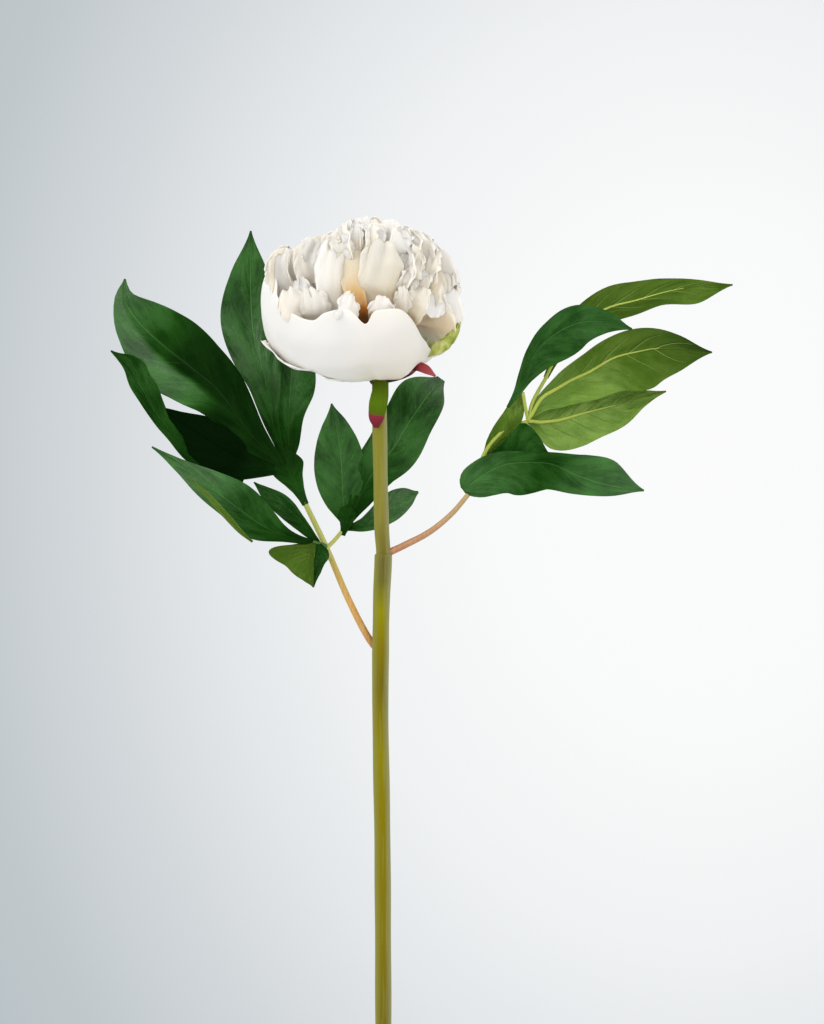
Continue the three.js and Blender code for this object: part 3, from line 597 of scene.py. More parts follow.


# Leaves

# midrib is a list of front-view places from root to tip. left and right are the half widths, as the viewer
# sees them when heading for the tip, at even steps. fold lifts both halves towards the viewer, droop bends
# their edges back, wave is the height of the edge's waves, roll turns the blade about its midrib and twist
# turns it on from root to tip. tone darkens it from root to tip, painted shade for leaflets that turn from
# the
# light and lie under others, and light is (place across, place along, how much): past those places it is
# lighter and shinier, a painted lit patch where that shade is taken off. under marks a leaflet that shows its
# underside, plain one without ribs, blunt is the share of its length over which its root is rounded, and
# rib_end the share that the midrib covers.
LEAF_HABIT = dict(
    fold=10, droop=0.1, wave=0.8, roll=0, twist=0, under=False, plain=False, blunt=0, light=None,
    rib_end=0.64, seed=1,
)
LEAVES = {
    "left_leaf_upper": [
        dict(midrib=[[-52, 522, 14], [-60, 546, 19], [-63.5, 568, 24], [-70, 591, 27], [-72, 615, 26],
             [-72, 650.3, 20]], left=[1.3, 4, 9.2, 14.5, 17, 10.5, 0.4], right=[1.3, 3, 7, 12, 14, 9.5, 0.4],
             droop=0.12, roll=6, twist=-10, tone=[0.75, 0.35, -0.35, 0.1, 0.0]),
        dict(midrib=[[-51.5, 521, 14.4], [-51.3, 551, 24], [-50.2, 570, 30], [-49, 588, 36], [-52, 603, 40]],
             left=[1.3, 4.5, 7, 8.5, 10.5, 8, 0.4], right=[1.3, 5.7, 8.3, 13.2, 13, 9, 0.4], fold=8, roll=-6,
             tone=[0.75, 0.6, 0.1, -0.05, 0.0]),
        dict(midrib=[[-52, 521, 13.6], [-70.4, 539, 11], [-90, 564.5, 6], [-103.7, 576.3, 3],
             [-122.6, 591.4, -2], [-135.5, 604.9, -6], [-140.4, 614.6, -8], [-139.9, 624.3, -6]],
             left=[1.3, 8, 13, 19, 22, 13, 0.4], right=[1.3, 7, 13, 17.8, 20, 14, 0.4], droop=0.16, wave=1.2,
             roll=-4, twist=10, tone=[0.8, 0.85, 0.85, 0.8, 0.25, -0.4], light=[0.3, 0.45, 1.2]),
        dict(midrib=[[-76, 515, 11.5], [-99.4, 525.5, 8], [-115.6, 541.7, 3], [-124.7, 554.1, -1],
             [-131.2, 565.5, -5], [-137.7, 576.8, -9], [-147.4, 585.5, -14]],
             left=[1.3, 4, 5, 5, 5, 5.5, 0.4], right=[1.3, 6, 7, 7, 9, 9, 0.4], fold=4, droop=0, wave=0.4,
             roll=40, tone=[0.9, 0.7, 0.45, 0.4]),
        dict(midrib=[[-52, 520.5, 14], [-65.9, 523.4, 13], [-77.8, 527.7, 11.5], [-91.3, 535.2, 9],
             [-104.8, 543.9, 7], [-118.3, 552.5, 5], [-125.3, 555.8, 4]],
             left=[1.3, 6.5, 12.8, 13.5, 11, 7, 0.4], right=[1.3, 8, 13, 15, 10.2, 4.3, 0.4], fold=12,
             droop=0.18, wave=1.2, roll=8, tone=[0.8, 1.0, 1.05, 1.0]),
        dict(midrib=[[-42.3, 502.5, 10.6], [-46.5, 511, 11.6], [-51.5, 520.5, 12.8], [-58, 536, 14.6]],
             left=[1.8, 3, 5.5, 8.5, 6, 0.4], right=[1.8, 3, 6, 9.5, 6, 0.4], fold=6, wave=0.2,
             tone=[0.3, 0.55, 0.8, 0.8], plain=True),
    ],
    "left_leaf_lower": [
        dict(midrib=[[-35, 481.2, 0.4], [-50.8, 485, -5], [-65.9, 491.5, -10], [-80.5, 501.8, -16],
             [-96.7, 514.7, -22], [-111.2, 525, -26], [-125.3, 533.6, -30]],
             left=[1.3, 3.2, 9.5, 8.4, 8, 4.3, 0.4], right=[1.3, 3.5, 10.8, 13, 8.4, 3, 0.4], droop=0.16,
             roll=-4, twist=8, tone=[0.7, 0.5, 0.3, -0.45, 0.0]),
        dict(midrib=[[-71, 482.4, -19], [-76.5, 487, -21], [-85, 496.3, -24], [-95, 507.2, -27.5],
             [-106, 517, -31]], left=[0.6, 1.5, 1.7, 1.2, 0.4], right=[0.6, 1.5, 1.7, 1.2, 0.4], fold=0,
             droop=0, wave=0.1, tone=[0.5, 0.4, 0.3], plain=True, under=True),
        dict(midrib=[[-35.5, 482, 0.3], [-43.7, 492.6, 1], [-52.4, 500.7, 2], [-61.6, 508.2, 0],
             [-70.2, 514.5, -4]], left=[1.3, 4, 5.5, 6, 5.6, 4, 0.4],
             right=[1.3, 1.8, 2.8, 4.6, 4.6, 2.4, 0.4], wave=0.4, tone=[0.6, 0.35, 0.4]),
        dict(midrib=[[-38.3, 482.2, -0.8], [-40.5, 473, -9], [-38.1, 457.9, -14]],
             left=[1.5, 2.5, 3, 2.5, 2, 1, 0.4], right=[2.5, 10.5, 22, 13, 9, 4.5, 0.4], fold=-6, droop=0,
             wave=0.3, under=True, tone=[0.7, 0.6, 0.6], plain=True),
        dict(midrib=[[-35, 481.4, 0.4], [-36.2, 472.6, -6], [-37.5, 464.5, -10], [-38.1, 457.9, -13]],
             left=[1.3, 5.2, 6.2, 4.2, 3.2, 1.6, 0.4], right=[1.3, 4, 4.5, 4, 3, 1.5, 0.4], fold=8, droop=0,
             wave=0.3, tone=[0.5, 0.3, 0.3]),
    ],
    "left_leaf_inner": [
        dict(midrib=[[-21, 490.5, 16.3], [-22.1, 505, 18], [-23.2, 526.6, 20], [-25.4, 542.8, 17],
             [-28.4, 557, 12]], left=[1.3, 9, 13.8, 15, 12.8, 7.8, 0.4],
             right=[1.3, 7, 11.2, 12.5, 10.6, 6.2, 0.4], droop=0.14, roll=4,
             tone=[0.7, 0.25, 0.15, 0.05, -0.1]),
        dict(midrib=[[-20.4, 490, 16.3], [-14, 505, 18], [-4.9, 521.2, 21], [4.3, 532, 25], [13, 545.5, 28],
             [22.1, 559, 33], [30.8, 570.3, 46]], left=[1.3, 5.5, 11.5, 14.5, 15.5, 15.5, 2.5],
             right=[1.3, 7, 12, 14.5, 12.8, 10.5, 2.5], droop=0.14, roll=-6,
             tone=[0.7, 0.5, 0.2, 0.2, -0.35]),
        dict(midrib=[[-21, 489.5, 16.2], [-10.3, 492, 17], [0.5, 498.5, 18], [10.3, 505, 20],
             [18.4, 509.3, 24]], left=[1.3, 3, 5, 7, 8, 6, 0.6], right=[1.3, 3.2, 5.5, 7, 7, 5, 0.6],
             wave=0.4, tone=[0.6, 0.1, -0.35, -0.45]),
        dict(midrib=[[-22.3, 485.8, 13.8], [-21.2, 490, 14.4], [-19.8, 496, 15.6], [-18.5, 503, 17.4]],
             left=[1.3, 2.4, 4, 4.5, 0.4], right=[1.3, 2.4, 4, 4.5, 0.4], fold=6, wave=0.2,
             tone=[0.6, 0.6, 0.6], plain=True),
    ],
    "right_leaf": [
        dict(midrib=[[42.6, 510.5, -17], [53.5, 518.5, -21], [64.3, 523.9, -26], [78.8, 525.5, -32],
             [90.7, 524.4, -36], [104.8, 518, -40], [122, 512.6, -43], [140.4, 510.1, -45]],
             left=[8, 8.5, 6, 6, 12, 13, 0.4], right=[9, 13.5, 17.5, 14.5, 10, 5.5, 0.4], blunt=0.09,
             droop=0.15, wave=0.6, tone=[0.0, 0.3, 0.5, 0.0, -0.3]),
        dict(midrib=[[52.9, 524.4, -15], [65, 526, -18], [78, 528, -20.5], [90, 529, -22]],
             left=[1.3, 5.5, 9.5, 14, 18.5, 12, 0.4], right=[1.3, 4, 6, 7, 7, 4, 0.4], fold=4, droop=0.05,
             wave=0.3, tone=[0.5, 0.5, 0.4]),
        dict(midrib=[[77.5, 547.5, -8], [92.3, 547.7, -2], [108, 552, 3], [125.3, 556.3, 7],
             [138.2, 560, 10], [152.3, 563.6, 13]], left=[1.3, 8, 11, 11, 8, 4, 0.4],
             right=[1.3, 15, 17, 15, 12, 5, 0.4], fold=-10, droop=-0.12, under=True,
             tone=[0.1, 0.0, 0.05, 0.25]),
        dict(midrib=[[77.5, 548, -8], [84.8, 559, -8], [96.4, 567.4, -7], [110.2, 573.8, -6],
             [124.2, 581.8, -4], [137, 585, -1], [148.8, 586.9, 1], [177.1, 584.7, 6]],
             left=[1.3, 3.6, 8.8, 10.8, 12.5, 7.5, 0.4], right=[1.3, 10, 14.5, 18.6, 21, 13.2, 0.4],
             fold=-10, droop=-0.1, under=True, tone=[-0.1, 0.0, 0.35, 0.6, 0.75], light=[0.1, 0.4, -0.15],
             rib_end=0.74),
        dict(midrib=[[66.8, 554.8, -12.6], [72, 564, -13.5], [76, 573.5, -15.8], [81.5, 584, -18.5],
             [91, 593.6, -22], [104.8, 600.6, -27], [119.9, 601.1, -31], [133.9, 597.3, -35]],
             left=[0.8, 2.4, 4.6, 7.6, 9.6, 6, 0.4], right=[0.8, 4, 10.5, 14.5, 13.5, 7, 0.4], droop=0.16,
             roll=-4, tone=[0.3, 0.35, 0.35, 0.2]),
        dict(midrib=[[87.4, 571, -6.2], [95, 586, -3], [105.8, 599.5, 0], [121, 608.7, 4], [136.1, 612.7, 8],
             [150.1, 616.8, 12], [165.2, 620, 15], [188.2, 621.1, 20]], left=[1.3, 4, 9, 11, 8.4, 3.8, 0.4],
             right=[1.3, 4, 8, 7.9, 6.5, 9.4, 0.4], fold=-10, droop=-0.1, wave=0.6, under=True,
             tone=[0.5, 0.65, 0.6, 0.5], rib_end=0.78),
        dict(midrib=[[54, 528.5, -14], [64.3, 539.6, -12], [70.7, 548.7, -10.5], [73.4, 559, -9.5],
             [73.4, 567.6, -9]], left=[1.3, 5, 7, 7.5, 6.5, 3.5, 0.4], right=[1.3, 3, 4, 4, 3.5, 2, 0.4],
             fold=-8, droop=0, wave=0.3, under=True, tone=[0.6, 0.45, 0.2], plain=True),
    ],
}
LEAF_STALKS = {
    "left_leaf_upper": [
        ([[-42.5, 503, 12], [-46.5, 511, 13.5], [-51.5, 520.5, 14], [-53, 524, 14.2]], 1.6, 1.3),
    ],
    "left_leaf_lower": [([[-31.5, 480, 5], [-33.5, 481, 2], [-38.5, 482.5, -1]], 1.3, 1.0)],
    "left_leaf_inner": [([[-22, 489, 16], [-20.8, 490.5, 16.3], [-20, 493.5, 17]], 1.2, 1.0)],
    "right_leaf": [
        ([[45, 507.5, -16], [50, 519, -15.2], [56, 533, -13], [66, 543, -10], [78, 547.5, -8]], 1.25, 1.1),
        ([[78, 547.5, -8], [76.5, 554, -10], [75, 563, -13]], 1, 0.9),
        ([[78, 547.5, -8], [80, 557, -8], [88, 572, -6]], 1.1, 1),
    ],
}
PETIOLES = {
    "left_petiole": [
        ([[-1, 421, -5], [-8, 430, -4], [-19, 451, 0], [-31, 479, 6], [-42.5, 503, 12]], 2.0, 1.45),
        ([[-31, 479, 6], [-26.5, 483.5, 11], [-22, 489, 16]], 1.25, 1.1),
    ],
    "right_petiole": [
        ([[2.5, 476.5, -7], [11, 480.5, -9], [25, 488, -12], [37, 498, -15], [45.5, 508, -17]], 1.95, 1.3),
    ],
}
LEAF_ACROSS = 20
LEAF_ALONG = 44
PUCKER = 0.5
CRUMPLE = 0.7
HUMP = 18
LEAST_REACH = 0.35


def facing(way, degrees):
    """The way that looks at the viewer, square to a line's way and turned about it."""
    near = unit(np.array([0, -1, 0]) + way * way[..., 1:2])
    turn = np.radians(degrees)[..., None]
    return near * np.cos(turn) + np.cross(way, near) * np.sin(turn)


def leaf_places(leaf, line, u, t):
    """Places on a leaflet's blade: u from -1 at its right edge to 1 at its left one, t from root to tip."""
    u, t = np.broadcast_arrays(u, t)
    along = line.way(t)
    near = facing(along, leaf["roll"] + leaf["twist"] * (t - 0.5))
    left = u > 0
    reach = np.maximum(LEAST_REACH, np.where(left, blended(leaf["left"], t), blended(leaf["right"], t)))
    if leaf["blunt"]:
        reach = reach * np.sqrt(1 - (1 - np.clip(t / leaf["blunt"], 0.02, 1)) ** 2)
    share = np.abs(u)
    waves = np.sin(2 * np.pi * (2.3 * t + np.where(left, 0.1, 0.45)))
    flat = np.stack([u * reach, t * line.length, 0 * t], -1)
    bulge = 0.5 - 0.5 * np.cos(2 * np.pi * SIDE_VEINS * (t - VEIN_SLANT * share))
    swell = PUCKER * bulge * 4 * share * (1 - share) * np.minimum(1, reach / 8)
    lift = (
        reach * (share * math.sin(math.radians(leaf["fold"])) - leaf["droop"] * share**2)
        + leaf["wave"] * waves * share**2 * np.minimum(1, reach / 6)
        + swell * (-1 if leaf["under"] else 1)
        + CRUMPLE * ripple(flat, HUMP, leaf["seed"]) * np.minimum(1, reach / 8)
    )
    return line.at(t) + np.cross(near, along) * (u * reach)[..., None] + near * lift[..., None]


def leaf_ribs(leaf, line):
    """The raised midrib and side veins on a leaflet's underside, as two lists of lines with their radii."""
    side = 1 if leaf["under"] else -1
    step = 0.02
    vein_reach = 0.7

    def on_blade(u, t, radii):
        here = leaf_places(leaf, line, u, t)
        across = leaf_places(leaf, line, u + step, t) - leaf_places(leaf, line, u - step, t)
        along = leaf_places(leaf, line, u, t + step) - leaf_places(leaf, line, u, np.maximum(t - step, 0))
        sunk = BLADE / 2 + np.maximum(0, radii - 0.45)
        return here - unit(np.cross(across, along)) * side * sunk[:, None], radii

    t = np.linspace(0.0, leaf["rib_end"], 26)
    wide = max(leaf["left"] + leaf["right"])
    thick = between(0.4, 1.05, min(1.0, wide / 16))
    midrib = on_blade(0 * t, t, thick * between(1.0, 0.2, (t / leaf["rib_end"]) ** 1.5))
    share = np.linspace(0, vein_reach, 12)
    radii = thick * between(0.26, 0.05, share / vein_reach)
    veins = [
        on_blade(way * share, start / SIDE_VEINS + VEIN_SLANT * share, radii)
        for k in range(1, SIDE_VEINS - 1)
        for way, start in ((1, k + 0.12), (-1, k))
    ]
    return [midrib], veins


def tapered(through, start, end):
    shares = np.linspace(0, 1, 10 * len(through))
    return Line(seen(through)).at(shares), between(start, end, shares)


def make_leaf(node):
    """One leaf's blades with their top and underside, its stalks, midribs and side veins."""
    skin = Skin()
    midribs, veins = [], []
    across, along = edged(LEAF_ACROSS), edged(LEAF_ALONG)
    for number, leaf in enumerate(LEAVES[node]):
        leaf = {**LEAF_HABIT, **leaf, "seed": number + 3}
        line = Line(seen(leaf["midrib"]))
        grid = leaf_places(leaf, line, 2 * across[None, :] - 1, along[:, None])
        near, far = (1, 0) if leaf["under"] else (0, 1)
        # painted shade from the tone, lifted as a painted lit patch where the leaflet has light set
        tone = blended(leaf["tone"], along)[:, None]
        if leaf["light"]:
            aside, onward, amount = leaf["light"]
            from_edge = smoothstep(2 * across - 1, aside - 0.08, aside + 0.08)
            tone = tone - amount * from_edge * smoothstep(along, onward - 0.12, onward + 0.12)[:, None]
        skin.sheet(grid, across, along, BLADE, near_slot=near, far_slot=far, tone=tone)
        if not leaf["plain"]:
            rib, side_veins = leaf_ribs(leaf, line)
            midribs += rib
            veins += side_veins
    piece(node + "_blades", skin.mesh(node + "_blades", [leaf_top, leaf_under]), [node])
    tube_skin = rib_lime if node == "right_leaf" else stalk_green
    for part, lines, sides, look in [
        ("_stalks", [tapered(*stalk) for stalk in LEAF_STALKS[node]], 12, tube_skin),
        ("_ribs", midribs, 8, rib_lime), ("_veins", veins, 6, vein_dull),
    ]:
        piece(node + part, stalks(node + part, lines, sides, look))


for node in LEAVES:
    make_leaf(node)


# Stem and leaf stalks


def make_stem():
    joint = STEM["joint"]
    heights = np.concatenate([
        np.linspace(STEM_LINE[0][2], joint - 1.2, 90), joint + np.array([-0.6, -0.2, 0.0, 0.05, 0.3, 1.0]),
        np.linspace(joint + 3, STEM_LINE[-1][2], 40),
    ])
    line = Line(STEM_LINE)
    places = line.at(np.interp(heights, line.places[:, 2], line.shares))
    lower = (
        STEM["below"] + 0.3 * smoothstep(heights, joint - 60, joint)
        + 0.2 * np.exp(-(((heights - STEM["left_root"]) / 9) ** 2)) + 0.08 * np.sin(heights / 9.0)
    )
    rounding = 0.5 * smoothstep(heights, joint - 0.8, joint)
    upper = STEM["above"] + 0.1 * np.sin(heights / 7.0)
    radii = np.where(heights > joint + 0.02, upper, lower - rounding)
    radii = radii - STEM["neck_in"] * smoothstep(heights, *STEM["neck"])
    mesh = stalks("stem_skin", [(places, radii)], 40, stem_olive)
    skin = np.empty(len(mesh.vertices) * 3, np.float32)
    mesh.vertices.foreach_get("co", skin)
    x, _, z = skin.reshape(-1, 3).T / MM
    centre = np.interp(z, places[:, 2], places[:, 0])
    # the across attribute places the painted sheen along the stem's left and right sides
    write_values(mesh, "across", (x - centre) / np.interp(z, places[:, 2], radii))
    piece("stem_skin", mesh, ["stem"])


make_stem()
for node, skin, slot in [
    ("left_petiole", left_stalk_skin, "yellow_leaf_stalk"),
    ("right_petiole", right_stalk_skin, "tan_leaf_stalk"),
]:
    lines = [tapered(*stalk) for stalk in PETIOLES[node]]
    piece(node + "_skin", stalks(node + "_skin", lines, 20, skin), [node])


# Bloom

# A guard petal runs from the bloom's root to tip, a front-view place, on an arc that bulges out. half is its
# half width, cup the radius of its hollow across, crest how far its corners are rounded off, roll its turn
# about its own length, and layer how far out it lies.
GUARD_PETALS = [
    # the pale outer petal at the right side
    dict(tip=[34.5, 624, -13], bulge=47.5, half=19, cup=28, crest=0.22, wave=0.8, roll=-26, tone=0.1),
    # round the back
    dict(tip=[26, 624, 26], bulge=46, half=29, cup=40, crest=0.25, wave=1.5, layer=1),
    dict(tip=[-12, 625, 40], bulge=50, half=30, cup=42, crest=0.25, wave=1.5, layer=2),
    dict(tip=[-50, 624, 26], bulge=50, half=29, cup=40, crest=0.25, wave=1.5, layer=1),
    # the frilled edge that shows below the left side
    dict(tip=[-66, 591, -10], bulge=47, half=24, cup=38, crest=0.25, wave=0.6, layer=-0.4, frill=1.5),
]
# The wide petals of the bowl. rim runs from left to right along the petal's edge, as front-view places with
# the bulge of the arc that ends there. notches are [place across, half width, depth], and folds [place,
# height, half width], both with places from 0 at the left to 1 at the right.
BOWL = dict(
    rim=[[-50, 641, 14, 73], [-56.5, 641, 4, 79.5], [-59, 635, -8, 81], [-58.5, 624, -19, 77],
    [-55.5, 614, -29, 70.5], [-50, 605.5, -38, 62], [-41, 603.5, -46, 58], [-31, 606.5, -52, 55],
    [-20, 607.5, -56, 54.5], [-8, 607.5, -58, 56.5], [3, 608, -57, 57.5], [10, 606, -53, 59],
    [16, 599.5, -47, 56], [20, 592, -41, 46], [25, 586, -34, 31], [26.5, 581, -28, 18]],
    notches=[[0.603, 0.02, 0.1], [0.47, 0.02, 0.03]], folds=[[0.33, 0.35, 0.03], [0.592, 1.0, 0.012]],
    tone=[0.0, 0.0, 0.0, 0.0, 0.05, 0.08, 0.38, 0.42, 0.48, 0.55, 0.6],
)
LIME_PETAL = dict(
    spine=[[20, 583.5, -28], [26, 586, -35], [31.3, 588.2, -37.5], [35.5, 591.7, -37.5], [38.7, 596, -35],
    [41.2, 602, -31]], half=[2.4, 3.0, 3.4, 2.9, 2.2, 0.8], cup=14, roll=-14, crest=0.3, wave=0.6, nick=0.1,
    frill=0.9, phase=0.3,
)

# The crown's rows of petals, as the frame has them. The first row only takes its draws, because the front
# petals stand in its place.
CROWN_SEED = 20
# How far the tips at the far left move inwards, and between which distances left of the middle that grows.
ROW_INWARD = 8
ROW_INWARD_FROM = (50, 58)
CROWN_ROWS = [
    dict(depth=-38, bulge=48, half=14, cup=15, tips=[[-47, 634], [-26, 641], [-2.5, 642], [14, 638],
         [27, 631]]),
    dict(depth=-15, bulge=36, half=14, cup=17, tips=[[-59, 639], [-42, 651], [-23, 656], [-5, 659],
         [12, 656], [27, 648], [38, 636]]),
    dict(depth=8, bulge=32, half=15, cup=18, tips=[[-58, 634], [-39, 650], [-16, 658], [6, 657], [24, 649],
         [37, 634]]),
    dict(depth=30, bulge=38, half=15, cup=20, tips=[[-46, 633], [-27, 643], [-5, 645], [15, 640],
         [29, 630]]),
]

# The dome's outline in the front view, from left to right.
DOME_LINE = [
    [-71, 600], [-67.5, 624], [-62.5, 636], [-58.3, 640.5], [-45.4, 641], [-42.5, 646], [-26, 648.8],
    [-22, 655], [-8.6, 659.3], [4.3, 656], [14, 651.6], [25.9, 645], [35.6, 632], [38.9, 624.6], [42.1, 615],
    [43.5, 600],
]

# The outline of the bloom's underside in the front view, from left to right.
BASE_LINE = [
    [-70, 600], [-66, 590], [-60, 585], [-57.5, 581.5], [-51.8, 577.4], [-46.4, 575.4], [-37.8, 574.5],
    [-33, 571.5], [-29.2, 569.8], [-21.6, 568.8], [-17.3, 568.7], [-2.2, 569.2], [8.6, 569.8], [13, 573],
    [15, 575.2], [18, 578], [23, 579.2], [26, 582], [28, 586],
]

# Patches of narrow crinkled petals whose tips stand on the dome: the middle and half size of each in the
# front view, how many there are, and their half width.
RUFFLES = [
    dict(middle=[21, 638], spread=[9, 9], count=8, half=6, seed=31),
    dict(middle=[-8, 653.5], spread=[22, 3], count=7, half=6.5, seed=52),
]

